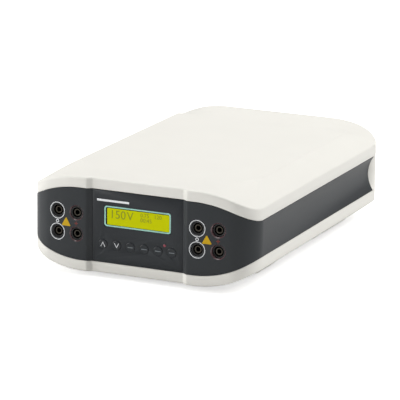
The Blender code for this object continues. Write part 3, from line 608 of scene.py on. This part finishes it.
def case_half(upward):
    """One half of the clamshell as a loft of both sides of its outline, with a wall."""
    front = front_outline()
    rear = rear_outline()
    side_start, side_end = front[-1][1], rear[0][1]
    run = side_end - side_start
    points = front + [(HALF_WIDTH, side_start + run * step / 16) for step in range(1, 16)] + rear
    half = [shell_column(points, index, side_start, side_end) for index in range(len(points))]
    for column in (half[0], half[-1]):
        for point in column:
            point.x = 0.0
    mirrored = [[Vector((-p.x, p.y, p.z)) for p in column] for column in reversed(half[1:-1])]
    ring = half + mirrored
    rows = [[(p.x, p.y, MID_Z + upward * p.z) for p in column] for column in ring]
    bm, grid = from_rows(rows, closed=True)
    platform = bm.faces.new([column[-1] for column in grid])
    bmesh.ops.inset_region(bm, faces=[platform], thickness=4 * MM)
    bmesh.ops.triangulate(bm, faces=[platform])
    if upward < 0:
        bmesh.ops.reverse_faces(bm, faces=bm.faces)
    piece = to_object(bm, "case_half")
    wall(piece, case().wall)
    smooth(piece, 50)
    return piece


def band_strip(half):
    """An upright panel along both sides of a half outline of (x, y, half height)."""
    both = half + [(-x, y, reach) for x, y, reach in reversed(half) if x != 0.0]
    if half[-1][0] != 0.0:
        both = [(-x, y, reach) for x, y, reach in reversed(half) if x != 0.0] + half
    rows = [[(x, y, MID_Z + reach * level / 12) for level in range(-12, 13)] for x, y, reach in both]
    bm, _ = from_rows(rows)
    return to_object(bm, "strip")


def with_reach(outline):
    return [(x, y, band_height(x) - case().gap * 0.5) for x, y in outline]


def drill(piece, radius, centre, depth, steps=48):
    """A hole along Y, as deep behind the centre as in front of it."""
    hole = turned([(radius, -depth), (radius, depth)], steps)
    hole.data.transform(Matrix.Translation(centre) @ FACING_FRONT)
    cut(piece, hole)


# Operators

class SUPPLY_OT_case_halves(bpy.types.Operator):
    """Top cover and bottom tray with their lips, borders and platforms"""
    bl_idname = "supply.case_halves"
    bl_label = "Case Halves"

    def execute(self, context):
        cover = case_half(1)
        hand_over(cover, "cover_shell", moulded_abs(), nodes=("top_cover",))
        tray = case_half(-1)
        floor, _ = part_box("bottom_tray")
        vent, pitch = (3 * MM, 30 * MM, 20 * MM), 10 * MM
        for row_y in (-45 * MM, 15 * MM):
            for column in range(-4, 5):
                cut(tray, block(vent, (column * pitch, row_y, floor.z)))
        well_radius, well_depth = 3.4 * MM, 12 * MM
        outer, inner, end = 4.6 * MM, 3.5 * MM, 7 * MM
        tube = [(outer, end), (outer, MID_Z - end), (inner, MID_Z - end), (inner, end), (outer, end)]
        for index in range(1, 5):
            place = middle(f"case_screw_{index}")
            well = turned([(well_radius, 0.0), (well_radius, well_depth)], 32)
            well.data.transform(Matrix.Translation((place.x, place.y, 0)))
            cut(tray, well)
            boss = turned(tube, 32, closed=True, cap=False)
            boss.data.transform(Matrix.Translation((place.x, place.y, 0)))
            smooth(boss)
            hand_over(boss, f"tray_boss_{index}", moulded_abs())
        smooth(tray, 50)
        hand_over(tray, "tray_shell", moulded_abs(), nodes=("bottom_tray",))
        return {"FINISHED"}


class SUPPLY_OT_fascia(bpy.types.Operator):
    """Bowed front with its socket holes, and the film over the sunk panel"""
    bl_idname = "supply.fascia"
    bl_label = "Fascia and Overlay"

    def execute(self, context):
        fascia = band_strip(with_reach(front_outline()))
        wall(fascia, case().panel_wall)
        _, film_size = place_and_size("control_overlay")
        display, display_size = place_and_size("display_bezel")
        gap = case().gap
        edge = 0.25 * MM
        width = 2 * (case().recess_half - edge)
        height = 2 * (case().band_half - 2 * edge)
        depth = film_size.y
        key_hole, lamp_hole, socket_depth = 4.32 * MM, 1.5 * MM, 8 * MM
        cut(fascia, block((width + 2 * gap, 2 * depth, height + gap), (0, panel_y(), MID_Z)))
        film = block((width, depth, height), (0, panel_y() + depth / 2, MID_Z))
        window = (display_size.x + gap, CUTTER_DEPTH, display_size.z + gap)
        for piece in (fascia, film):
            cut(piece, block(window, (0, panel_y(), display.z)))
            for key in KEYS:
                centre = middle(key)
                drill(piece, key_hole, (centre.x, panel_y(), centre.z), 6 * MM)
            lamp = middle("run_lamp")
            drill(piece, lamp_hole, (lamp.x, panel_y(), lamp.z), 6 * MM, 24)
        for name in SOCKETS:
            drill(fascia, detail().sink_radius, mouth(name), socket_depth, 64)
        soften(film, 0.08 * MM, 2)
        smooth(fascia, 28)
        smooth(film, 28)
        hand_over(fascia, "fascia_shell", charcoal_paint(), nodes=("front_fascia",))
        hand_over(film, "overlay_film", polyester_film(), nodes=("control_overlay",))
        return {"FINISHED"}


class SUPPLY_OT_side_bands(bpy.types.Operator):
    """The two hollow channels between the lips"""
    bl_idname = "supply.side_bands"
    bl_label = "Side Bands"

    def execute(self, context):
        sizes = case()
        for name, side in (("left", -1), ("right", 1)):
            low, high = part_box(f"side_band_{name}")
            reach = band_height(HALF_WIDTH) - sizes.gap * 0.5
            rows = []
            for step in range(33):
                share = step / 32
                depth = sizes.channel_front + (sizes.channel_rear - sizes.channel_front) * share
                y = low.y + (high.y - low.y) * share
                row = []
                for level in range(25):
                    height = 2 * level / 24 - 1
                    x = HALF_WIDTH - 0.1 * MM - depth * (1 - height ** 2)
                    row.append((side * x, y, MID_Z + reach * height))
                rows.append(row if side > 0 else row[::-1])
            bm, _ = from_rows(rows)
            band = to_object(bm, "band")
            wall(band, sizes.wall)
            smooth(band, 40)
            hand_over(band, f"channel_{name}", charcoal_paint(),
                      nodes=(f"side_band_{name}",))
        return {"FINISHED"}


class SUPPLY_OT_rear_panel(bpy.types.Operator):
    """Rear wall with its returns, module openings and vent slots"""
    bl_idname = "supply.rear_panel"
    bl_label = "Rear Panel"

    def execute(self, context):
        sizes = case()
        panel = band_strip(with_reach(rear_outline()))
        start = REAR_Y - sizes.rear_corner
        reach = band_height(HALF_WIDTH)
        # each side's hollow runs on into the corner and fades out there
        for vertex in panel.data.vertices:
            point = vertex.co
            share = min((point.y - start) / sizes.fade, 1.0)
            level = min(abs(point.z - MID_Z) / reach, 1.0)
            depth = sizes.channel_rear * (1 - level ** 2) * (1 - share) ** 2
            point.x -= math.copysign(depth, point.x)
        wall(panel, sizes.panel_wall)
        gap, flange = sizes.gap, 2 * MM
        vent_radius, vent_pitch, vent_width = 22 * MM, 5 * MM, 2.6 * MM
        for node in ("mains_inlet", "switch_housing"):
            centre, size = place_and_size(node)
            place = (centre.x, REAR_Y, centre.z)
            cut(panel, block((size.x + gap, 3 * MM, size.z + gap), place))
            inside = (size.x - 2 * flange + gap, CUTTER_DEPTH, size.z - 2 * flange + gap)
            cut(panel, block(inside, place))
        fan = middle("fan_housing")
        for index in range(-4, 5):
            offset = index * vent_pitch
            tall = 2 * math.sqrt(vent_radius ** 2 - offset ** 2)
            slot = block((vent_width, CUTTER_DEPTH, tall), (fan.x + offset, REAR_Y, fan.z))
            soften(slot, 1.1 * MM, 4)
            cut(panel, slot)
        smooth(panel, 35)
        hand_over(panel, "rear_closure", moulded_abs(), nodes=("rear_panel",))
        return {"FINISHED"}


class SUPPLY_OT_display(bpy.types.Operator):
    """Bezel, backlit crystal and its plain digits"""
    bl_idname = "supply.display"
    bl_label = "Display"

    def execute(self, context):
        centre, size = place_and_size("display_bezel")
        bezel = rounded_plate(size, centre, 2.4 * MM)
        line = 1.15 * MM
        opening = (size.x - 2 * line, CUTTER_DEPTH, size.z - 2 * line)
        cut(bezel, rounded_plate(opening, centre, 1.5 * MM))
        soften(bezel, 0.12 * MM, 2)
        smooth(bezel)
        ink = printed_ink("bezel_ink", colours().bezel)
        hand_over(bezel, "display_surround", ink, nodes=("display_bezel",))
        pane, pane_size = place_and_size("display_glass")
        pane_front = pane.y - pane_size.y / 2
        fit = 0.1 * MM
        glass = rounded_plate((opening[0] - fit, pane_size.y, opening[2] - fit), pane, 1.4 * MM)
        # black border printed behind the clear film; it shows wider at the left and top as painted shade from
        # the window's edge
        border = finish("black_border_and_painted_shade", colours().black, 0.25, 0.5, 0.0, ior=1.3)
        hand_over(glass, "crystal_border_and_painted_shade", border, nodes=("display_glass",))
        # the lit field sits right of and below the middle, so the black shows wider at the left and top as
        # painted shade
        field = (opening[0] - 1.7 * MM, 0.3 * MM, opening[2] - 1.2 * MM)
        lit = rounded_plate(field, (centre.x + 0.45 * MM, pane_front + 0.1 * MM, centre.z - 0.2 * MM),
                            0.8 * MM)
        hand_over(lit, "crystal_field", crystal_display())
        face = pane_front - 0.08 * MM
        segments = printed_ink("crystal_segment", colours().segment)
        # words, left edge, rise above the lowest line, height of a figure
        large, small = 7.6 * MM, 3.6 * MM
        texts = (("150", -27 * MM, 10.8 * MM, large), ("V", -10.4 * MM, 10.8 * MM, large),
                 ("0.75", 2.5 * MM, 14.8 * MM, small), ("120", 15.5 * MM, 14.8 * MM, small),
                 ("00:45", 2.5 * MM, 10.4 * MM, small))
        lowest_line = pane.z - 12.2 * MM
        for index, (words, x, rise, height) in enumerate(texts):
            clear_selection()
            bpy.ops.object.text_add()
            text = bpy.context.object
            text.data.body = words
            # a figure of this font stands 1 / 1.38 of the font's size
            text.data.size = height * 1.38
            text.data.extrude = 0.02 * MM
            bpy.ops.object.convert(target="MESH")
            text = bpy.context.object
            text.data.transform(Matrix.Translation((x, face, lowest_line + rise)) @ FACING_FRONT)
            hand_over(text, f"crystal_digits_{index + 1}", segments)
        return {"FINISHED"}


class SUPPLY_OT_keys(bpy.types.Operator):
    """Six round keys, their marks and the run lamp"""
    bl_idname = "supply.keys"
    bl_label = "Keys and Lamp"

    def execute(self, context):
        profile = [(2.1 * MM, -7.8 * MM), (2.1 * MM, -4.2 * MM), (5.2 * MM, -4.2 * MM), (5.2 * MM, -3.4 * MM),
                   (4.2 * MM, -3.4 * MM), (4.2 * MM, 0.0), (4.1 * MM, 0.25 * MM), (3.85 * MM, 0.4 * MM),
                   (3.2 * MM, 0.36 * MM), (1.6 * MM, 0.22 * MM), (0.2 * MM, 0.18 * MM)]
        cap = turned(profile, 48)
        smooth(cap, 30)
        white = printed_ink("white_ink", colours().ink)
        grey = printed_ink("grey_ink", colours().grey_ink)
        for index, key in enumerate(KEYS):
            centre = middle(key)
            place = Matrix.Translation((centre.x, panel_y(), centre.z))
            hand_over(copy_of(cap, place @ FACING_FRONT), f"{key}_cap", key_plastic(), key,
                      (key,))
            face = panel_y() - 0.42 * MM
            if index < 2:
                mark = self.chevron(1 if index == 0 else -1)
            else:
                mark = block((5.2 * MM, 0.1 * MM, 0.8 * MM), (0, 0, 0))
            mark.data.transform(Matrix.Translation((centre.x, face, centre.z)) @ mark.matrix_world)
            mark.matrix_world = Matrix.Identity(4)
            hand_over(mark, f"{key}_mark", white if index < 2 else grey, key)
        discard(cap)
        lamp = middle("run_lamp")
        dome = [(1.3 * MM, -8.7 * MM), (1.3 * MM, 0.0)]
        dome += [(1.3 * MM * math.cos(a), 0.52 * MM * math.sin(a)) for a in (0.3, 0.6, 0.9, 1.2, 1.5)]
        lens = turned(dome, 32)
        lens.data.transform(Matrix.Translation((lamp.x, panel_y(), lamp.z)) @ FACING_FRONT)
        smooth(lens)
        # a tinted acrylic lens over an unlit diode
        acrylic = finish("tinted_acrylic", colours().lamp, 0.2, 0.4, 0.02, coat=0.5)
        hand_over(lens, "lamp_lens", acrylic, nodes=("run_lamp",))
        return {"FINISHED"}

    def chevron(self, up):
        """Two strokes that meet at a point."""
        half, rise, stroke = 2.3 * MM, 2.2 * MM, 0.52 * MM
        outer = [(-half, -rise), (0, rise), (half, -rise)]
        inner = [(half - stroke, -rise), (0, rise - stroke * 2 * rise / half), (stroke - half, -rise)]
        bm = flat_plate([(x, 0, up * z) for x, z in outer + inner], 0.08 * MM)
        bmesh.ops.recalc_face_normals(bm, faces=bm.faces)
        return to_object(bm, "chevron")


class SUPPLY_OT_sockets(bpy.types.Operator):
    """Shrouded output sockets with their contact tubes"""
    bl_idname = "supply.sockets"
    bl_label = "Output Sockets"

    def execute(self, context):
        face = detail().shroud_setback / MM
        tip = detail().contact_setback / MM
        # radius and height in millimetres: rim, flange, rear end and bore
        sleeve = [(5.9, -face - 0.1), (6.0, -face - 0.3), (6.0, -4.2),
                  (7.6, -4.2), (7.6, -6.7), (6.0, -6.7),
                  (6.0, -26.0), (1.6, -26.0), (1.6, -24.0), (4.4, -24.0),
                  (4.4, -face - 0.6), (4.5, -face - 0.3), (4.7, -face - 0.08), (5.0, -face), (5.6, -face),
                  (5.9, -face - 0.1)]
        sleeve = turned([(r * MM, h * MM) for r, h in sleeve], 48, closed=True, cap=False)
        smooth(sleeve, 32)
        # solder tail, barrel, collar and bore
        tube = [(1.2, -28.4), (1.2, -23.7), (2.9, -23.7),
                (2.9, -tip - 0.9), (3.3, -tip - 0.8), (3.3, -tip - 0.2), (3.1, -tip), (2.3, -tip),
                (2.05, -tip - 0.2), (2.0, -tip - 0.5), (2.0, -20.6), (0.1, -20.7)]
        tube = turned([(r * MM, h * MM) for r, h in tube], 36)
        smooth(tube, 32)
        for name in SOCKETS:
            place = Matrix.Translation(mouth(name)) @ FACING_FRONT
            hand_over(copy_of(sleeve, place), f"shroud_{name}", black_polyamide(),
                      nodes=(f"socket_{name}",))
            hand_over(copy_of(tube, place), f"tube_{name}", plated_brass_in_painted_shade(),
                      nodes=(f"contact_{name}",))
        discard(sleeve)
        discard(tube)
        return {"FINISHED"}


class SUPPLY_OT_marks(bpy.types.Operator):
    """Printed rings, links, crosses, triangles and the plain bar"""
    bl_idname = "supply.marks"
    bl_label = "Printed Marks"

    def lay_on_pod(self, piece, name, material):
        """Bends a flat mark onto the pod's bow, a hair proud of it."""
        for vertex in piece.data.vertices:
            vertex.co.y = max(vertex.co.y + pod_y(vertex.co.x), FRONT_Y)
        hand_over(piece, name, material)

    def flat_ring(self, radius, line, x, z, steps=64):
        ink = detail().ink
        profile = [(radius + line / 2, -ink), (radius + line / 2, ink), (radius - line / 2, ink),
                   (radius - line / 2, -ink), (radius + line / 2, -ink)]
        ring = turned(profile, steps, closed=True, cap=False)
        ring.data.transform(Matrix.Translation((x, 0, z)) @ FACING_FRONT)
        return ring

    def execute(self, context):
        sizes = detail()
        white = printed_ink("white_ink", colours().ink)
        # the cones are lighter than the paint beside them, partly as a painted highlight for the glint on
        # each rim, and glossier; the red sockets' are tinted
        sink = finish("countersink_paint", colours().sink, 0.2, 0.45, 0.05, coat=0.6)
        maroon_with_painted_glint = finish("countersink_tint", colours().red_sink_with_painted_glint, 0.2, 0.45, 0.05, coat=0.6)
        red = printed_ink("red_ink", colours().red_ink)
        yellow = printed_ink("yellow_ink", colours().yellow_ink)
        for name in SOCKETS:
            centre = middle(f"socket_{name}")
            if "black" in name:
                ring = self.flat_ring(sizes.ring_radius, sizes.ring_line, centre.x, centre.z)
                self.lay_on_pod(ring, f"ring_{name}", white)
            inner = sizes.sink_radius - 0.8 * MM
            cone = [(inner, -3 * MM), (inner, -sizes.sink_depth), (sizes.sink_radius, 0.0),
                    (sizes.sink_radius, -3 * MM), (inner, -3 * MM)]
            cone = turned(cone, 64, closed=True, cap=False)
            smooth(cone)
            cone.data.transform(Matrix.Translation((centre.x, 0, centre.z)) @ FACING_FRONT)
            self.lay_on_pod(cone, f"countersink_{name}", sink if "black" in name else maroon_with_painted_glint)
        arms = (3.4 * MM, 0.8 * MM)
        for pod in ("left", "right"):
            places = {}
            for side in ("black", "red"):
                upper, lower = (middle(f"socket_{pod}_{side}_{level}") for level in ("upper", "lower"))
                places[side] = (upper + lower) / 2
            link = self.flat_ring(1.25 * MM, 0.6 * MM, places["black"].x, places["black"].z, 32)
            self.lay_on_pod(link, f"link_{pod}", white)
            for index, (width, height) in enumerate((arms, arms[::-1])):
                bar = block((width, 2 * sizes.ink, height), (0, 0, 0))
                bar.data.transform(Matrix.Translation((places["red"].x, -index * sizes.ink, places["red"].z)))
                self.lay_on_pod(bar, f"plus_{pod}_{index + 1}", red)
            middle_x = (places["black"].x + places["red"].x) / 2 - 0.6 * MM
            corners = [Vector((math.sin(turn), 0, math.cos(turn))) * sizes.triangle for turn in
                       (2 * math.pi * step / 3 for step in range(3))]
            bm = flat_plate(corners, 2 * sizes.ink)
            corner_edges = [edge for edge in bm.edges
                            if abs((edge.verts[0].co - edge.verts[1].co).y) > sizes.ink]
            bmesh.ops.bevel(bm, geom=corner_edges, offset=0.6 * MM, segments=3, affect="EDGES")
            bmesh.ops.recalc_face_normals(bm, faces=bm.faces)
            triangle = to_object(bm, "triangle")
            triangle.data.transform(Matrix.Translation((middle_x, 0, places["red"].z - 0.6 * MM)))
            self.lay_on_pod(triangle, f"triangle_{pod}", yellow)
        bar = block((31 * MM, 2 * sizes.ink, 1.9 * MM),
                    (-23.5 * MM, panel_y() - sizes.ink / 2, MID_Z + 23.4 * MM))
        soften(bar, 0.05 * MM, 1)
        hand_over(bar, "white_bar", white)
        return {"FINISHED"}


class SUPPLY_OT_rear_fittings(bpy.types.Operator):
    """Mains inlet, fuse drawer, rocker switch and fan"""
    bl_idname = "supply.rear_fittings"
    bl_label = "Rear Fittings"

    def execute(self, context):
        black = black_polyamide()
        worked_copy("mains_inlet", 0.4 * MM, "inlet_housing", black)
        worked_copy("fuse_drawer", 0.3 * MM, "drawer_body", black, "fuse_drawer")
        worked_copy("switch_housing", 0.3 * MM, "switch_frame", black)
        rocker = finish("rocker_abs", colours().black, 0.28, 0.5, 0.08, spread=0.1)
        worked_copy("power_rocker", 0.4 * MM, "rocker_cap", rocker, "power_rocker", 3)
        worked_copy("fan_housing", 0.4 * MM, "fan_frame", black)
        worked_copy("fan_rotor", 0.2 * MM, "fan_blades", black, "fan_rotor")
        for pin in ("live", "neutral", "earth"):
            worked_copy(f"inlet_pin_{pin}", 0.15 * MM, f"blade_{pin}", plated_brass_in_painted_shade())
        glass = finish("fuse_glass", colours().glass, 0.15, 0.8, 0.03, coat=0.6)
        worked_copy("fuse", 0.3 * MM, "fuse_tube", glass, "fuse_drawer")
        return {"FINISHED"}


class SUPPLY_OT_insides(bpy.types.Operator):
    """Boards, transformer, heat sink, capacitors, screws and feet"""
    bl_idname = "supply.insides"
    bl_label = "Insides and Feet"

    def execute(self, context):
        board = finish("solder_resist", colours().board, 0.35, 1.5, 0.15, spread=0.12)
        for node in ("control_board", "main_board", "output_board_left", "output_board_right"):
            worked_copy(node, 0.15 * MM, f"{node}_laminate", board)
        core = finish("varnished_laminations", colours().core, 0.4, 0.35, 0.5, metallic=0.7,
                      stretch=(0.02, 1, 0.02))
        worked_copy("transformer_core", 0.4 * MM, "lamination_stack", core)
        tape = finish("polyester_tape", colours().tape, 0.4, 2.0, 0.3, stretch=(0.05, 0.05, 1))
        worked_copy("transformer_coil", 0.3 * MM, "coil_wrap", tape)
        metal = finish("extruded_aluminium", colours().aluminium, 0.35, 0.4, 0.3, metallic=1.0,
                       stretch=(1, 0.02, 1))
        worked_copy("heat_sink", 0.2 * MM, "sink_extrusion", metal)
        sleeve = finish("shrink_sleeve", colours().sleeve, 0.3, 1.0, 0.1)
        for index in (1, 2):
            worked_copy(f"capacitor_{index}", 0.4 * MM, f"capacitor_can_{index}", sleeve)
        rubber = finish("foot_rubber", colours().rubber, 0.7, 0.6, 0.5, spread=0.1)
        for index in range(1, 5):
            worked_copy(f"foot_{index}", 0.5 * MM, f"rubber_foot_{index}", rubber, segments=3)
            worked_copy(f"case_screw_{index}", 0.2 * MM, f"screw_{index}", zinc_steel())
        return {"FINISHED"}


class SUPPLY_OT_stage(bpy.types.Operator):
    """Floor, soft light, world and camera"""
    bl_idname = "supply.stage"
    bl_label = "Stage"

    def execute(self, context):
        settings = context.scene.supply_stage
        context.scene.view_settings.view_transform = "Standard"
        clear_selection()
        bpy.ops.mesh.primitive_plane_add(size=12, location=(0, 0, -0.2 * MM))
        floor = context.object
        floor.name = "studio_floor"
        floor.data.materials.append(self.white_floor())
        self.sky(context, settings.world)
        # a broad top light, a soft light from the front left, one from the rear right and a faint front fill
        for name, place, size, power in (("top_light", (0.0, 0.3, 2.2), 2.2, 33),
                                         ("left_light", (-2.3, -1.2, 0.6), 1.4, 46),
                                         ("right_light", (1.7, 0.8, 1.7), 1.2, 29),
                                         ("front_light", (-0.8, -2.6, 1.4), 1.4, 1)):
            light = bpy.data.lights.new(name, "AREA")
            light.size = size
            light.energy = power
            lamp = bpy.data.objects.new(name, light)
            lamp.location = place
            lamp.rotation_euler = (Vector((0, 0, 0.05)) - Vector(place)).to_track_quat("-Z", "Y").to_euler()
            context.scene.collection.objects.link(lamp)
        self.camera(context, settings)
        return {"FINISHED"}

    def seen_straight(self, tree):
        """Light Path, and 1 where the camera looks straight at the surface or through glass."""
        path = add_node(tree, "ShaderNodeLightPath")
        rays = [(path.outputs["Is Camera Ray"], 0), (path.outputs["Is Transmission Ray"], 1)]
        return path, add_node(tree, "ShaderNodeMath", rays, operation="MAXIMUM")

    def white_floor(self):
        """A white floor that keeps the shadow, and looks white to the camera and through glass."""
        material = bpy.data.materials.new("white_floor")
        material.use_nodes = True
        tree = material.node_tree
        shader = tree.nodes["Principled BSDF"]
        shader.inputs["Base Color"].default_value = (0.86, 0.86, 0.86, 1)
        shader.inputs["Roughness"].default_value = 0.9
        path, seen = self.seen_straight(tree)
        direct = add_node(tree, "ShaderNodeMath", [(seen.outputs[0], 0)], operation="MULTIPLY")
        direct.inputs[1].default_value = 0.6
        # gloss sees a slightly darker floor, so that dark paint does not turn grey low down
        rays = [(path.outputs["Is Glossy Ray"], 0), (direct.outputs[0], 2)]
        lift = add_node(tree, "ShaderNodeMath", rays, operation="MULTIPLY_ADD")
        lift.inputs[1].default_value = -0.05
        shader.inputs["Emission Color"].default_value = (1, 1, 1, 1)
        tree.links.new(lift.outputs[0], shader.inputs["Emission Strength"])
        return material

    def sky(self, context, strength):
        world = bpy.data.worlds.new("studio")
        world.use_nodes = True
        context.scene.world = world
        tree = world.node_tree
        background = tree.nodes["Background"]
        background.inputs["Color"].default_value = (1, 1, 1, 1)
        path, seen = self.seen_straight(tree)
        level = add_node(tree, "ShaderNodeMapRange", [(seen.outputs[0], "Value")])
        level.inputs["To Min"].default_value = strength
        level.inputs["To Max"].default_value = 1.0
        # gloss sees a slightly brighter room, so that dark paint is even from top to bottom
        rays = [(path.outputs["Is Glossy Ray"], 0), (level.outputs["Result"], 2)]
        lift = add_node(tree, "ShaderNodeMath", rays, operation="MULTIPLY_ADD")
        lift.inputs[1].default_value = 0.15
        tree.links.new(lift.outputs[0], background.inputs["Strength"])

    def camera(self, context, settings):
        azimuth, elevation, roll = settings.azimuth, settings.elevation, settings.roll
        back = Vector((math.sin(azimuth) * math.cos(elevation), -math.cos(azimuth) * math.cos(elevation),
                       math.sin(elevation)))
        right = Vector((math.cos(azimuth), math.sin(azimuth), 0))
        up = back.cross(right)
        rolled_right = right * math.cos(roll) + up * math.sin(roll)
        rolled_up = up * math.cos(roll) - right * math.sin(roll)
        data = bpy.data.cameras.new("camera")
        data.lens = settings.lens
        data.sensor_width = 36
        camera = bpy.data.objects.new("camera", data)
        place = Matrix((rolled_right, rolled_up, back)).transposed().to_4x4()
        place.translation = Vector(settings.target) + back * settings.distance
        camera.matrix_world = place
        context.scene.collection.objects.link(camera)
        context.scene.camera = camera


class SUPPLY_PT_panel(bpy.types.Panel):
    """Steps and settings of the power supply"""
    bl_label = "Power Supply"
    bl_idname = "SUPPLY_PT_panel"
    bl_space_type = "VIEW_3D"
    bl_region_type = "UI"
    bl_category = "Power Supply"

    def draw(self, context):
        for operator in OPERATORS:
            self.layout.operator(operator.bl_idname)
        for name in ("supply_case", "supply_detail", "supply_colours", "supply_stage"):
            group = getattr(context.scene, name)
            column = self.layout.column()
            for key in group.bl_rna.properties.keys():
                if key not in {"rna_type", "name"}:
                    column.prop(group, key)


GROUPS = {"supply_case": CaseSizes, "supply_detail": DetailSizes, "supply_colours": FinishColours,
          "supply_stage": StageSettings}
OPERATORS = (SUPPLY_OT_stage, SUPPLY_OT_case_halves, SUPPLY_OT_fascia, SUPPLY_OT_side_bands,
             SUPPLY_OT_rear_panel, SUPPLY_OT_display, SUPPLY_OT_keys, SUPPLY_OT_sockets, SUPPLY_OT_marks,
             SUPPLY_OT_rear_fittings, SUPPLY_OT_insides)


def register():
    for cls in (*GROUPS.values(), *OPERATORS, SUPPLY_PT_panel):
        bpy.utils.register_class(cls)
    for name, group in GROUPS.items():
        setattr(bpy.types.Scene, name, bpy.props.PointerProperty(type=group))


def unregister():
    for name in GROUPS:
        delattr(bpy.types.Scene, name)
    for cls in reversed((*GROUPS.values(), *OPERATORS, SUPPLY_PT_panel)):
        bpy.utils.unregister_class(cls)


def main():
    register()
    for operator in OPERATORS:
        group, name = operator.bl_idname.split(".")
        getattr(getattr(bpy.ops, group), name)()


if __name__ == "__main__":
    main()
